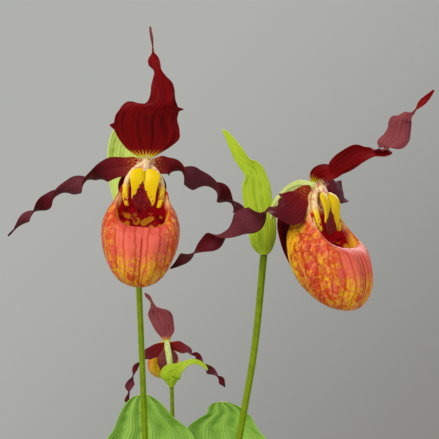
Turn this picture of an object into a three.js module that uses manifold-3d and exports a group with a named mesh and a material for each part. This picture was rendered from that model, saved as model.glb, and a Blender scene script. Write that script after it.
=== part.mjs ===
// Potted slipper orchid: three shoots in bloom with pleated leaves in a plain clay pot.
// Millimetres, +Z up. The pot stands on z = 0 with its axis on the Z axis; the flowers face -Y.

import * as THREE from 'three';
import Module from 'manifold-3d';

const wasm = await Module();
wasm.setup();

// Clearance kept between pieces that touch, and the wider one round the many-sided column
const GAP = 0.3;
const COLUMN_GAP = 0.35;

// Pot
const POT_HEIGHT = 155;
const POT_FOOT_RADIUS = 58;
const POT_COLLAR_BOTTOM = 126;
const POT_NECK_RADIUS = 80;
const POT_RIM_RADIUS = 88;
const POT_FLOOR = 7;
const POT_INNER_FOOT_RADIUS = 51.5;
const POT_INNER_RIM_RADIUS = 82;
const DRAIN_RADIUS = 4.5;
const DRAIN_CIRCLE = 28;
const DRAIN_COUNT = 3;
const POT_SIDES = 32;

// Potting mix
const SOIL_TOP = 140;
const SOIL_RELIEF = 1.8;
const SOIL_EDGE_DROP = 1.5;

// Smallest form kept after cutting, and the scale below which a flower takes fewer facets
const FINEST = 0.02;
const SMALL = 0.8;

// Thickness of the grown sheets
const SEPAL_THICK = 0.8;
const LEAF_THICK = 0.8;
const POUCH_WALL = 0.9;
const STAMINODE_THICK = 1.6;

// Colours with roughness
const LOOK = {
  clay: ['#b4633f', 0.88],
  soil: ['#3a2719', 0.97],
  stem: ['#6f9a1c', 0.5],
  ovary: ['#a3c13c', 0.5],
  bract: ['#a2c833', 0.55],
  sheath: ['#8a9a3c', 0.65],
  leaf: ['#6f9c2e', 0.6],
  sepal: ['#5c0d14', 0.55],
  petal: ['#4a1020', 0.5],
  pouch: ['#ee7a4e', 0.42],
  column: ['#f0d9a8', 0.5],
  staminode: ['#e8c012', 0.42],
};

// Curves

// Catmull-Rom value of every column of a row table at t in 0..1
function sampleRows(rows, t) {
  const last = rows.length - 1;
  const at = Math.min(Math.max(t, 0), 1) * last;
  const i = Math.min(Math.floor(at), last - 1);
  const f = at - i;
  const b = rows[i];
  const c = rows[i + 1];
  const a = i > 0 ? rows[i - 1] : b.map((v, k) => 2 * v - c[k]);
  const d = i + 2 <= last ? rows[i + 2] : c.map((v, k) => 2 * v - b[k]);
  return b.map((v, k) => {
    const linear = (c[k] - a[k]) * f;
    const square = (2 * a[k] - 5 * v + 4 * c[k] - d[k]) * f * f;
    const cube = (-a[k] + 3 * v - 3 * c[k] + d[k]) * f * f * f;
    return v + 0.5 * (linear + square + cube);
  });
}

function vec(a) {
  return new THREE.Vector3(a[0], a[1], a[2]);
}

function radians(degrees) {
  return (degrees * Math.PI) / 180;
}

// Closed bodies

// A closed triangle list made into a solid with its faces turned outward
function solidOf(points, faces) {
  let volume = 0;
  for (const [a, b, c] of faces) {
    volume += points[a].dot(points[b].clone().cross(points[c]));
  }
  const flat = new Float32Array(points.length * 3);
  points.forEach((p, i) => flat.set([p.x, p.y, p.z], i * 3));
  const order = volume < 0 ? ([a, b, c]) => [a, c, b] : (face) => face;
  const corners = Uint32Array.from(faces.flatMap(order));
  return new wasm.Manifold(new wasm.Mesh({ numProp: 3, vertProperties: flat, triVerts: corners }));
}

function largest(solid) {
  const pieces = solid.decompose();
  return pieces.reduce((best, piece) => (piece.volume() > best.volume() ? piece : best));
}

// The solid without what lies inside the cutters
function carved(solid, cutters) {
  return largest(cutters.reduce((rest, cutter) => rest.subtract(cutter), solid));
}

// A thin grown sheet. Rows are [x, y, z, width, roll, tilt], angles in degrees; the width lies
// along the direction square to the path and to `facing`, or along `side` when that is given.
// Roll turns it about the path and tilt, where given, turns it towards the path.
function blade(rows, form, grow = 0) {
  const { along, across, thick } = form;
  const { facing = [0, 1, 0], side = null, cup = 0, baseCup = 0 } = form;
  const { wave = 0, waves = 3, pleat = 0 } = form;
  const half = thick / 2 + grow;
  const step = 1e-3;

  function frameAt(t) {
    const row = sampleRows(rows, t);
    const ahead = vec(sampleRows(rows, Math.min(t + step, 1)));
    const behind = vec(sampleRows(rows, Math.max(t - step, 0)));
    const path = ahead.sub(behind).normalize();
    const a = side ? vec(side) : path.clone().cross(vec(facing)).normalize();
    const b = a.clone().cross(path).normalize();
    const roll = radians(row[4]);
    const rolled = a.multiplyScalar(Math.cos(roll)).addScaledVector(b, Math.sin(roll));
    const tilt = radians(row[5] ?? 0);
    const wide = rolled.multiplyScalar(Math.cos(tilt)).addScaledVector(path, Math.sin(tilt));
    const out = path.clone().cross(wide).normalize();
    const centre = vec(row).addScaledVector(path, grow * (2 * t - 1));
    return { centre, wide, out, reach: Math.max(row[3], 0.7) / 2 + grow };
  }

  function middle(t, s) {
    const { centre, wide, out, reach } = frameAt(t);
    const fade = Math.min(1, 5 * t, 4 * (1 - t));
    const curl = cup + (baseCup - cup) * (1 - t) ** 3;
    const phase = s > 0 ? 1.9 : 0;
    const edge = wave * Math.abs(s) ** 3 * Math.sin(2 * Math.PI * waves * t + phase);
    const fold = pleat * Math.cos((Math.PI * across * s) / 2);
    const lift = curl * reach * s * s + fade * (edge + fold);
    return centre.addScaledVector(wide, reach * s).addScaledVector(out, lift);
  }

  const points = [];
  for (const face of [1, -1]) {
    for (let i = 0; i <= along; i += 1) {
      for (let j = 0; j <= across; j += 1) {
        const t = i / along;
        const s = -1 + (2 * j) / across;
        const du = middle(Math.min(t + step, 1), s).sub(middle(Math.max(t - step, 0), s));
        const dv = middle(t, Math.min(s + step, 1)).sub(middle(t, Math.max(s - step, -1)));
        const normal = du.cross(dv).normalize();
        points.push(middle(t, s).addScaledVector(normal, face * half));
      }
    }
  }
  const sheet = (along + 1) * (across + 1);
  const at = (face, i, j) => face * sheet + i * (across + 1) + j;
  const faces = [];
  for (let i = 0; i < along; i += 1) {
    for (let j = 0; j < across; j += 1) {
      const quad = (face) => [at(face, i, j), at(face, i + 1, j), at(face, i + 1, j + 1), at(face, i, j + 1)];
      const [a, b, c, d] = quad(0);
      faces.push([a, b, c], [a, c, d]);
      const [e, f, g, h] = quad(1);
      faces.push([e, g, f], [e, h, g]);
    }
  }
  const rim = (i, j, k, l) => {
    faces.push([at(0, i, j), at(1, k, l), at(1, i, j)], [at(0, i, j), at(0, k, l), at(1, k, l)]);
  };
  for (let i = 0; i < along; i += 1) {
    rim(i + 1, 0, i, 0);
    rim(i, across, i + 1, across);
  }
  for (let j = 0; j < across; j += 1) {
    rim(0, j, 0, j + 1);
    rim(along, j + 1, along, j);
  }
  return solidOf(points, faces);
}

// A closed round body along rows of [x, y, z, radius]
function tube(rows, rings, sides, grow = 0) {
  const points = [];
  const faces = [];
  let normal = null;
  for (let i = 0; i <= rings; i += 1) {
    const t = i / rings;
    const row = sampleRows(rows, t);
    const ahead = vec(sampleRows(rows, Math.min(t + 0.01, 1)));
    const path = ahead.sub(vec(sampleRows(rows, Math.max(t - 0.01, 0)))).normalize();
    const seed = normal ?? (Math.abs(path.x) > 0.8 ? vec([0, 0, 1]) : vec([1, 0, 0]));
    normal = seed.clone().addScaledVector(path, -seed.dot(path)).normalize();
    const other = path.clone().cross(normal);
    const centre = vec(row).addScaledVector(path, grow * (2 * t - 1));
    for (let j = 0; j < sides; j += 1) {
      const angle = (2 * Math.PI * j) / sides;
      const point = centre.clone().addScaledVector(normal, (row[3] + grow) * Math.cos(angle));
      points.push(point.addScaledVector(other, (row[3] + grow) * Math.sin(angle)));
      if (i > 0) {
        const k = (j + 1) % sides;
        const low = (i - 1) * sides;
        const high = i * sides;
        faces.push([low + j, low + k, high + k], [low + j, high + k, high + j]);
      }
    }
  }
  for (const [start, turned] of [[0, true], [rings * sides, false]]) {
    for (let j = 1; j < sides - 1; j += 1) {
      const [b, c] = turned ? [start + j + 1, start + j] : [start + j, start + j + 1];
      faces.push([start, b, c]);
    }
  }
  return solidOf(points, faces);
}

// A body of revolution about Z from a profile of [radius, z] that starts and ends on the axis
function turned(profile, sides, height = () => 0) {
  const points = [];
  const starts = [];
  for (const [radius, z] of profile) {
    starts.push(points.length);
    const count = radius === 0 ? 1 : sides;
    for (let j = 0; j < count; j += 1) {
      const angle = (2 * Math.PI * j) / sides;
      const x = radius * Math.cos(angle);
      const y = radius * Math.sin(angle);
      points.push(vec([x, y, z + height(x, y, z)]));
    }
  }
  const faces = [];
  for (let i = 1; i < profile.length; i += 1) {
    const low = (j) => starts[i - 1] + (profile[i - 1][0] === 0 ? 0 : j % sides);
    const high = (j) => starts[i] + (profile[i][0] === 0 ? 0 : j % sides);
    for (let j = 0; j < sides; j += 1) {
      if (profile[i - 1][0] !== 0) faces.push([low(j), low(j + 1), high(j + 1)]);
      if (profile[i][0] !== 0) faces.push([low(j), high(j + 1), high(j)]);
    }
  }
  return solidOf(points, faces);
}

// The flower's own frame: side, forward and up from the ovary's tip

function flowerPoint(flower, [x, f, u]) {
  const { base, yaw, pitch, roll, scale } = flower;
  const p = radians(pitch);
  const r = radians(roll);
  const y = radians(yaw);
  const forward = f * Math.cos(p) - u * Math.sin(p);
  const raised = u * Math.cos(p) + f * Math.sin(p);
  const lateral = x * Math.cos(r) + raised * Math.sin(r);
  const up = raised * Math.cos(r) - x * Math.sin(r);
  return [
    base[0] + scale * (lateral * Math.cos(y) + forward * Math.sin(y)),
    base[1] + scale * (lateral * Math.sin(y) - forward * Math.cos(y)),
    base[2] + scale * up,
  ];
}

function flowerRows(flower, rows) {
  return rows.map(([x, f, u, size]) => [...flowerPoint(flower, [x, f, u]), size * flower.scale, 0]);
}

// Rings of the pouch from the inrolled lip to the underside:
// [front f, front u, back f, back u, half width, egg, squareness, sag of the sides]
const POUCH_RINGS = [
  [15.5, -34.5, 3.4, -8.6, 11.2, 0.16, 0.72, 3.2],
  [17.5, -31.8, 1.8, -2.2, 12.3, 0.16, 0.72, 3],
  [21.5, -31.2, -0.6, -3.2, 13.4, 0.26, 0.76, 3.4],
  [26.0, -35.2, -7.5, -12.5, 17.3, 0.2, 0.95, 2],
  [28.6, -43.0, -13.5, -22.0, 19.2, 0.06, 1, 0.5],
  [28.3, -51.0, -13.0, -33.5, 18.4, 0, 1, 0],
  [25.0, -57.5, -8.0, -45.0, 14.8, 0, 1, 0],
  [20.0, -60.8, 1.0, -54.5, 9.0, 0, 1, 0],
  [11.5, -60.6, 11.5, -60.6, 0, 0, 1, 0],
];
const POUCH_RIB = 0.018;
const POUCH_GROOVE = 0.035;

function pouch(flower, rings, sides, grow = 0) {
  const ribs = sides / 2;
  function surface(t, angle) {
    const [ff, fu, bf, bu, half, egg, square, sag] = sampleRows(POUCH_RINGS, t);
    const c = Math.cos(angle);
    const s = Math.sin(angle);
    const fade = Math.min(1, Math.max(0, 6 * (t - 0.2)), Math.max(0, 5 * (0.95 - t)));
    const turn = Math.atan2(s, c);
    const groove = POUCH_GROOVE * Math.exp(-((turn / 0.12) ** 2));
    const swell = 1 + fade * (POUCH_RIB * Math.cos(ribs * angle + Math.PI) - groove);
    const x = half * Math.sign(s) * Math.abs(s) ** square * (1 + egg * c) * swell;
    const f = (ff + bf) / 2 + ((ff - bf) / 2) * c * swell;
    const u = (fu + bu) / 2 + ((fu - bu) / 2) * c * swell - sag * s * s;
    return vec(flowerPoint(flower, [x, f, u]));
  }
  const points = [];
  for (const inner of [0, 1]) {
    for (let i = 0; i < rings; i += 1) {
      for (let j = 0; j < sides; j += 1) {
        const t = i / rings;
        const angle = (2 * Math.PI * j) / sides;
        const dt = surface(t + 0.004, angle).sub(surface(Math.max(t - 0.004, 0), angle));
        const da = surface(t, angle + 0.05).sub(surface(t, angle - 0.05));
        const normal = da.cross(dt).normalize();
        points.push(surface(t, angle).addScaledVector(normal, inner ? POUCH_WALL + grow : -grow));
      }
    }
  }
  const pole = points.length;
  const foot = surface(1, 0);
  const heart = vec(flowerPoint(flower, [0, 8, -36]));
  const inward = heart.sub(foot).normalize();
  points.push(foot.clone().addScaledVector(inward, -grow));
  points.push(foot.clone().addScaledVector(inward, POUCH_WALL + grow));
  const at = (inner, i, j) => inner * rings * sides + i * sides + (j % sides);
  const faces = [];
  for (let j = 0; j < sides; j += 1) {
    for (let i = 0; i < rings - 1; i += 1) {
      faces.push([at(0, i, j), at(0, i + 1, j), at(0, i + 1, j + 1)]);
      faces.push([at(0, i, j), at(0, i + 1, j + 1), at(0, i, j + 1)]);
      faces.push([at(1, i, j), at(1, i + 1, j + 1), at(1, i + 1, j)]);
      faces.push([at(1, i, j), at(1, i, j + 1), at(1, i + 1, j + 1)]);
    }
    faces.push([at(0, rings - 1, j), pole, at(0, rings - 1, j + 1)]);
    faces.push([at(1, rings - 1, j), at(1, rings - 1, j + 1), pole + 1]);
    faces.push([at(0, 0, j), at(0, 0, j + 1), at(1, 0, j + 1)]);
    faces.push([at(0, 0, j), at(1, 0, j + 1), at(1, 0, j)]);
  }
  return solidOf(points, faces);
}

// Column, its two side arms with the anthers and the stigma below,
// rows of [side, forward, up, radius]
const COLUMN_ROWS = [[0, 2.4, 0, 2.1], [0, 4.4, -0.8, 2.3], [0, 6.2, -2.8, 2.1], [0, 7.4, -5.2, 1.6]];
const ARM_ROWS = [
  [1, 4, -1, 1.3],
  [4.6, 4.6, -4, 1.6],
  [7.8, 6, -8.5, 1.6],
  [8.9, 7.4, -13.5, 1.6],
  [8.7, 8.4, -18.5, 1.5],
  [7.6, 9, -22.5, 0.9],
];
const STIGMA_ROWS = [[0, 4.4, -1.4, 1.3], [0, 5, -4.5, 1.3], [0, 5.6, -8.5, 2.4], [0, 5.8, -11, 1.6]];

function columnTubes(flower, grow) {
  const mirrored = ARM_ROWS.map(([x, ...rest]) => [-x, ...rest]);
  const [trunkSides, limbSides] = flower.scale < SMALL ? [6, 5] : [8, 6];
  const trunk = tube(flowerRows(flower, COLUMN_ROWS), 3, trunkSides, grow);
  const limbs = [ARM_ROWS, mirrored, STIGMA_ROWS];
  return [trunk, ...limbs.map((rows) => tube(flowerRows(flower, rows), rows.length - 1, limbSides, grow))];
}

// Rows of [side, forward, up, width]
const STAMINODE_ROWS = [
  [0, 7.6, -4.4, 8],
  [0, 8.2, -5.4, 13.6],
  [0, 9, -7.6, 15.2],
  [0, 9.6, -10.4, 14],
  [0, 9.8, -13.2, 12.6],
  [0, 9.6, -16.2, 12],
  [0, 9.1, -19.2, 11.6],
  [0, 8.5, -22, 9],
  [0, 8.1, -24.2, 2.4],
];
const SYNSEPAL_ROWS = [
  [0, -1, -0.8, 4],
  [0, -8, -5, 15],
  [0, -12.6, -11, 24.5],
  [0, -15.6, -18, 24],
  [0, -16.3, -26, 18],
  [0, -15.8, -33, 11.5],
  [0, -14.6, -40.5, 0.9],
];

// The three shoots

const FLOWERS = [
  {
    name: '1',
    base: [-16.6, 3, 453.7],
    yaw: 8,
    pitch: -7,
    roll: 4,
    scale: 1,
    stem: [
      [-12, 4, 112, 1.9],
      [-14.5, 9, 180, 1.85],
      [-16.6, 16.5, 245, 1.75],
      [-18.8, 25, 307.6, 1.65],
      [-22.8, 33, 387.7, 1.6],
      [-24.4, 38, 418.5, 1.7],
    ],
    ovary: [
      [-24.4, 38, 418.8, 1.8],
      [-24.1, 37.5, 428.4, 2.1],
      [-23, 35, 440.3, 2.4],
      [-20.6, 27, 450.7, 2.4],
      [-17.9, 15, 454.9, 2.2],
      [-16.7, 6, 454.2, 2.1],
      [-16.3, 1, 453.7, 2.1],
    ],
    bract: [
      [-24.7, 40.3, 417.9, 8, 0],
      [-27.5, 44.5, 426.8, 13.5, 0],
      [-30.8, 49, 436.3, 16.5, 0],
      [-32.4, 51, 451, 20, 0],
      [-30.9, 50, 465, 21.6, 0],
      [-27.6, 47, 475.4, 18, 0],
      [-23.4, 44, 484.2, 9, 0],
      [-20.4, 42, 490.3, 0.9, 0],
    ],
    dorsal: [
      [-16.6, 4.6, 454.8, 4, 0, 0],
      [-16.4, 5.4, 457.6, 13.4, 0, 0],
      [-16, 5.2, 461, 23.4, 0, -1],
      [-15.6, 3.4, 465.6, 31.9, 0, -4],
      [-15.6, 0.8, 470.1, 33.1, 0, -8],
      [-15.3, -1.6, 474.3, 32, 0, -11],
      [-13.9, -3.4, 477.2, 31.6, 0, -11],
      [-12.3, -4.6, 479.1, 30.2, 0, -11],
      [-10.6, -5.4, 480.2, 22.6, 0, -4],
      [-8.9, -6, 481.8, 15.6, 2, 7],
      [-7.8, -6.4, 484.2, 13, 4, 12],
      [-7.4, -6.8, 487.2, 12, 8, 11],
      [-8, -7.3, 490.6, 10.6, 14, 7],
      [-9.2, -7.8, 494.2, 6.8, 24, -1],
      [-10.2, -8, 497.4, 5.6, 32, -4],
      [-11.4, -7.8, 500.4, 7.3, 20, -3],
      [-11.6, -7.8, 503.7, 5.4, 20, 0],
      [-11.7, -8.2, 506.9, 1.3, 80, 0],
      [-12.2, -10, 512.2, 1.4, 150, 0],
      [-12.9, -12, 517.9, 0.9, 200, 0],
    ],
    left: [
      [-17.8, 2.6, 453, 3.4, 0],
      [-24.4, 5, 451.6, 9.2, 0],
      [-31.9, 7, 450.5, 11, 0],
      [-39.6, 11, 448.7, 10.5, 25],
      [-46.4, 15, 445.5, 9.5, 80],
      [-55.1, 20, 441.8, 10, 180],
      [-64.5, 25, 438.1, 9, 270],
      [-71.8, 29, 433.9, 8.5, 360],
      [-78.9, 32, 428.8, 7, 450],
      [-85, 35, 425.1, 6, 540],
      [-90.7, 38, 419.6, 3, 630],
      [-95.8, 41, 415.2, 0.9, 700],
    ],
    right: [
      [-15.3, 2.6, 453, 3.4, 0],
      [-9.8, 5, 451.7, 8.8, 0],
      [-4.5, 8, 451.5, 9.5, 0],
      [0.4, 13, 449.5, 9.5, -80],
      [5.3, 18, 446.5, 11, -180],
      [10.9, 24, 444.4, 11.5, -200],
      [17.2, 31, 441.5, 10.5, -270],
      [22.1, 36, 437.9, 10.5, -360],
      [27.1, 41, 433.3, 8.5, -450],
      [31.1, 46, 430.1, 6.5, -540],
      [35.7, 50, 426.2, 3, -630],
      [39.8, 54, 422.8, 0.9, -700],
    ],
    rightFacing: [0, 1, 0],
    dorsalSide: [1, 0, 0],
  },
  {
    name: '2',
    base: [66.3, -10, 440.1],
    yaw: 48,
    pitch: 3,
    roll: 0,
    scale: 0.98,
    stem: [
      [8, -8, 112, 1.9],
      [11, -5, 180, 1.85],
      [19, 0, 245, 1.8],
      [30.6, 4, 313.4, 1.75],
      [38.4, 6, 358, 1.75],
      [43.4, 8, 406.7, 1.8],
    ],
    ovary: [
      [43.4, 8, 407, 1.9],
      [44, 9, 416.3, 2.1],
      [47.6, 9, 428.1, 2.4],
      [54.5, 6, 437.7, 2.4],
      [60.5, 0, 441.6, 2.3],
      [64.6, -6, 441, 2.1],
      [67.8, -11.3, 440.1, 2.1],
    ],
    bract: [
      [43.6, 5.2, 406.4, 3, 0],
      [43.4, 5.5, 408.8, 8.5, 0],
      [42.9, 5.9, 413.4, 13, 0],
      [42.6, 6.3, 420.5, 14.4, 0],
      [41.4, 7.2, 428, 14.8, 0],
      [40, 8.4, 435.5, 15, 0],
      [39.5, 9.2, 441.5, 14.4, 0],
      [39.2, 9.6, 446.4, 11.2, 0],
      [37.2, 9.8, 450, 10.2, 0],
      [34, 10, 452.8, 7, 10],
      [31, 10.2, 457.4, 6.8, 15],
      [28, 10.3, 462.4, 5.2, 10],
      [24.7, 10.1, 467.5, 3.2, 0],
      [22.1, 10, 470.7, 0.9, 0],
    ],
    dorsal: [
      [67.4, -9.2, 441.3, 4, 0, 0],
      [68.9, -11, 444.9, 9.5, 0, 0],
      [71.2, -14, 446.7, 9, 0, 0],
      [74.3, -17.5, 446.7, 7, 0, 0],
      [77, -20.5, 449.4, 9.4, 0, 0],
      [80.3, -23.5, 451.8, 10.4, 0, 0],
      [85.3, -27, 454.8, 9.6, 0, 0],
      [90.8, -29.5, 455.9, 6.2, -12, -38],
      [94.8, -31, 455.8, 8, -40, -66],
      [96.3, -32, 456.7, 8.8, -75, 4],
      [96.7, -33, 457.4, 4.1, -108, 15],
      [96.8, -34, 458.2, 9.5, -135, 29],
      [100.3, -35, 461.1, 12, -146, 18],
      [102, -36, 465.1, 10.7, -155, 3],
      [102.6, -37.5, 469.1, 10.3, -165, 19],
      [104.8, -39, 471, 5.9, -180, 51],
      [107.3, -41, 472.1, 1.3, -240, 0],
      [110.5, -42, 475.7, 3, -310, 0],
      [113.3, -43, 478.5, 2.6, -350, 0],
      [116.2, -44, 481.9, 0.9, -380, 0],
    ],
    left: [
      [65.4, -10.7, 439.6, 3.4, 0],
      [61.6, -14, 437.2, 7, 0],
      [58, -18.5, 433.6, 12, -5],
      [54, -22, 429.4, 17, -15],
      [49, -22.5, 428.6, 13, -45],
      [45.5, -21, 428.4, 8.5, -70],
      [42, -19, 427.8, 9, -90],
      [36.4, -15, 424.5, 12.5, -180],
      [29.7, -11, 421.6, 11.5, -190],
      [23, -6, 417.6, 9, -270],
      [16.5, -2, 413.6, 9.8, -360],
      [7.7, 3, 407.4, 6, -450],
      [1.6, 8, 403.6, 5.5, -540],
      [-4.7, 12, 399, 0.9, -600],
    ],
    right: [
      [67.3, -9.4, 439.6, 3.4, 0],
      [73, -3.6, 439.2, 8.5, 0],
      [80, 3, 438.9, 10.5, 0],
      [84.3, 14, 438.2, 10.5, 0],
      [85.6, 28, 436.8, 9.5, 60],
      [84, 44, 432, 9, 150],
      [81.5, 58, 425, 6, 250],
      [79.5, 69, 417, 0.9, 340],
    ],
    rightFacing: [1, 0, 0],
  },
  {
    name: '3',
    base: [-12.3, 103, 346.6],
    yaw: 195,
    pitch: 28,
    roll: 0,
    scale: 0.52,
    stem: [
      [-2, 30, 112, 1.7],
      [-3.5, 48, 180, 1.6],
      [-5.6, 67, 250, 1.4],
      [-7.6, 82, 306.5, 1.2],
      [-8.2, 84, 323.5, 1.2],
    ],
    ovary: [
      [-8.2, 84, 323.8, 1.25],
      [-8.5, 83.5, 330.2, 1.5],
      [-9.6, 85, 339.1, 1.75],
      [-11.2, 91, 345.4, 1.75],
      [-12.1, 99, 347.2, 1.6],
      [-12.5, 104.2, 346.6, 1.5],
    ],
    bract: [
      [-8.2, 81.9, 323.2, 4, 0],
      [-8.4, 79.8, 327.5, 9.5, 0],
      [-8.3, 78.6, 331.6, 12.6, 0],
      [-3.5, 77.8, 335.4, 7, 10],
      [1, 77.2, 338.3, 4, 30],
      [6, 76.4, 339.6, 3.4, 40],
      [11, 75.2, 337.8, 2.4, 30],
      [13.8, 74.2, 334.9, 0.9, 0],
    ],
    dorsal: [
      [-12.2, 102.4, 346.7, 2.6, 0],
      [-13, 104, 350.2, 6.5, 0],
      [-13.7, 105, 353.9, 11.8, 0],
      [-15.4, 107, 358.7, 14.3, 0],
      [-17, 108, 363.6, 15.6, 0],
      [-18, 108, 366.5, 12, 0],
      [-21.2, 108, 368.7, 4, 0],
      [-22.4, 107.5, 371.9, 2.6, 20],
      [-24.6, 107, 375.5, 3.2, 0],
      [-26.4, 106, 377.8, 0.9, 0],
    ],
    left: [
      [-11.6, 103.2, 346, 2.6, 0],
      [-4.6, 100, 344.6, 7, 0],
      [0.6, 96, 343.3, 5, 30],
      [3.5, 93, 341.1, 3, 90],
      [7, 90, 340.6, 4.5, 180],
      [10.7, 86, 337.1, 3, 270],
      [15, 83, 333.4, 5.5, 360],
      [19.2, 80, 330.4, 3, 450],
      [21.9, 78, 327.8, 4, 540],
      [24, 76, 324.6, 0.9, 600],
    ],
    right: [
      [-13, 103.2, 346, 2.6, 0],
      [-20.2, 100, 342.1, 8, 0],
      [-24.7, 95, 339.2, 6.5, -30],
      [-26.9, 92, 337.2, 2.5, -90],
      [-30.5, 88, 333.7, 3.5, -180],
      [-31.7, 85, 329.4, 3, -270],
      [-33.2, 82, 324.5, 5.5, -360],
      [-33.5, 80, 320.1, 2.5, -450],
      [-34.5, 78, 317, 2.6, -540],
      [-35.6, 77, 315.4, 0.9, -580],
    ],
    rightFacing: [0, 1, 0],
    dorsalSide: [1, 0, 0],
  },
];

// Leaves: shoot, height of the base on the stem, direction in plan, length, first and last lean
// from upright, width
const LEAVES = [
  { name: 'leaf_1_b', shoot: 0, z: 200, azimuth: 174, length: 158, lean: [22, 100], width: 64 },
  { name: 'leaf_1_c', shoot: 0, z: 174, azimuth: 224, length: 150, lean: [30, 104], width: 68 },
  { name: 'leaf_2_b', shoot: 1, z: 194, azimuth: 2, length: 160, lean: [26, 98], width: 64 },
  { name: 'leaf_2_c', shoot: 1, z: 174, azimuth: 292, length: 150, lean: [30, 104], width: 68 },
  { name: 'leaf_3_a', shoot: 2, z: 214, azimuth: 154, length: 124, lean: [24, 104], width: 52 },
  { name: 'leaf_3_b', shoot: 2, z: 190, azimuth: 50, length: 132, lean: [26, 104], width: 56 },
  { name: 'leaf_3_c', shoot: 2, z: 174, azimuth: 102, length: 138, lean: [30, 106], width: 58 },
];

// The two raised leaves whose tops stand between the stems, rows after the clasping base
const RAISED_LEAVES = [
  {
    name: 'leaf_1_a',
    shoot: 0,
    z: 228,
    azimuth: 95,
    rows: [
      [-16.6, 28, 252, 32, 0],
      [-19, 38, 266, 44, 0],
      [-19.5, 44, 282, 50, 0],
      [-18.5, 48.5, 298, 51, 0],
      [-18, 50.5, 306, 42, 0],
      [-20.8, 51.5, 312.5, 31.5, 0],
      [-22, 52, 319, 23, 0],
      [-22.7, 52.2, 323.2, 14, 0],
      [-22.8, 52.3, 325.4, 5, 0],
    ],
  },
  {
    name: 'leaf_2_a',
    shoot: 1,
    z: 226,
    azimuth: 86,
    rows: [
      [21, 24, 250, 24, 0],
      [23.5, 40, 262, 38, 0],
      [24.5, 52, 278, 45, 0],
      [24.5, 60, 297, 47.4, 0],
      [22.8, 61.5, 304.4, 40.4, 0],
      [24.2, 62, 308.8, 32.5, 0],
      [25.7, 62.4, 312, 25, 0],
      [24.2, 62.6, 315.6, 20, 0],
      [22.5, 62.8, 317.8, 12, 0],
      [22.5, 62.8, 319, 4, 0],
    ],
  },
];

const LEAF_FORM = { along: 9, across: 8, thick: LEAF_THICK, cup: 0.12, baseCup: 0.95, pleat: 1.1 };

function stemAt(rows, z) {
  let low = 0;
  let high = 1;
  for (let k = 0; k < 40; k += 1) {
    const t = (low + high) / 2;
    if (sampleRows(rows, t)[2] < z) low = t;
    else high = t;
  }
  return sampleRows(rows, low);
}

// The clasping base of a leaf beside its stem
function leafBase(leaf, direction) {
  const rows = [];
  for (const [rise, out, width] of [[0, 0, 8], [11, 0.5, 13]]) {
    const [x, y, z, radius] = stemAt(FLOWERS[leaf.shoot].stem, leaf.z + rise);
    const away = radius + GAP + LEAF_THICK / 2 + out;
    rows.push([x + away * direction[0], y + away * direction[1], z, width, 0]);
  }
  return rows;
}

function archedRows(leaf, direction) {
  const rows = leafBase(leaf, direction);
  const steps = 8;
  const start = rows[1];
  let out = 0;
  let up = 0;
  for (let i = 1; i <= steps; i += 1) {
    const t = i / steps;
    const lean = radians(leaf.lean[0] + (leaf.lean[1] - leaf.lean[0]) * ((i - 0.5) / steps));
    out += (Math.sin(lean) * leaf.length) / steps;
    up += (Math.cos(lean) * leaf.length) / steps;
    const width = Math.max(leaf.width * Math.sin(Math.PI * (0.09 + 0.91 * t)), 1);
    rows.push([start[0] + out * direction[0], start[1] + out * direction[1], start[2] + up, width, 0]);
  }
  return rows;
}

function leafSolid(leaf) {
  const azimuth = radians(leaf.azimuth);
  const direction = [Math.cos(azimuth), Math.sin(azimuth)];
  const rows = leaf.rows ? [...leafBase(leaf, direction), ...leaf.rows] : archedRows(leaf, direction);
  return blade(rows, { ...LEAF_FORM, side: [-direction[1], direction[0], 0] });
}

// Pot and potting mix

function potInnerRadius(z) {
  const share = (z - POT_FLOOR) / (POT_HEIGHT - POT_FLOOR);
  return POT_INNER_FOOT_RADIUS + share * (POT_INNER_RIM_RADIUS - POT_INNER_FOOT_RADIUS);
}

function pot() {
  let body = turned([
    [0, 0],
    [POT_FOOT_RADIUS - 2, 0],
    [POT_FOOT_RADIUS, 2],
    [POT_NECK_RADIUS, POT_COLLAR_BOTTOM],
    [POT_RIM_RADIUS - 2.5, POT_COLLAR_BOTTOM + 1],
    [POT_RIM_RADIUS, POT_HEIGHT - 3],
    [POT_RIM_RADIUS - 2, POT_HEIGHT],
    [POT_INNER_RIM_RADIUS + 1.5, POT_HEIGHT],
    [potInnerRadius(POT_HEIGHT - 1.5), POT_HEIGHT - 1.5],
    [POT_INNER_FOOT_RADIUS, POT_FLOOR],
    [0, POT_FLOOR],
  ], POT_SIDES);
  for (let i = 0; i < DRAIN_COUNT; i += 1) {
    const angle = (2 * Math.PI * (i + 0.25)) / DRAIN_COUNT;
    const x = DRAIN_CIRCLE * Math.cos(angle);
    const y = DRAIN_CIRCLE * Math.sin(angle);
    body = body.subtract(tube([[x, y, -5, DRAIN_RADIUS], [x, y, POT_FLOOR + 5, DRAIN_RADIUS]], 1, 16));
  }
  return body;
}

function soil() {
  const rim = potInnerRadius(SOIL_TOP - SOIL_EDGE_DROP) - GAP;
  const rings = 5;
  const profile = [[0, POT_FLOOR + GAP], [POT_INNER_FOOT_RADIUS - GAP, POT_FLOOR + GAP]];
  for (let i = rings; i >= 0; i -= 1) {
    profile.push([(rim * i) / rings, SOIL_TOP]);
  }
  const relief = (x, y, z) => {
    if (z < SOIL_TOP) return 0;
    const edge = Math.hypot(x, y) / rim;
    const bumps = Math.sin(0.19 * x + 1.3 * Math.cos(0.11 * y)) * Math.cos(0.16 * y + 0.7);
    return SOIL_RELIEF * bumps * (1 - edge ** 6) - SOIL_EDGE_DROP * edge ** 4;
  };
  return turned(profile, POT_SIDES, relief);
}

// Assembly

const part = new THREE.Group();
part.name = 'potted_slipper_orchid';

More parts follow.
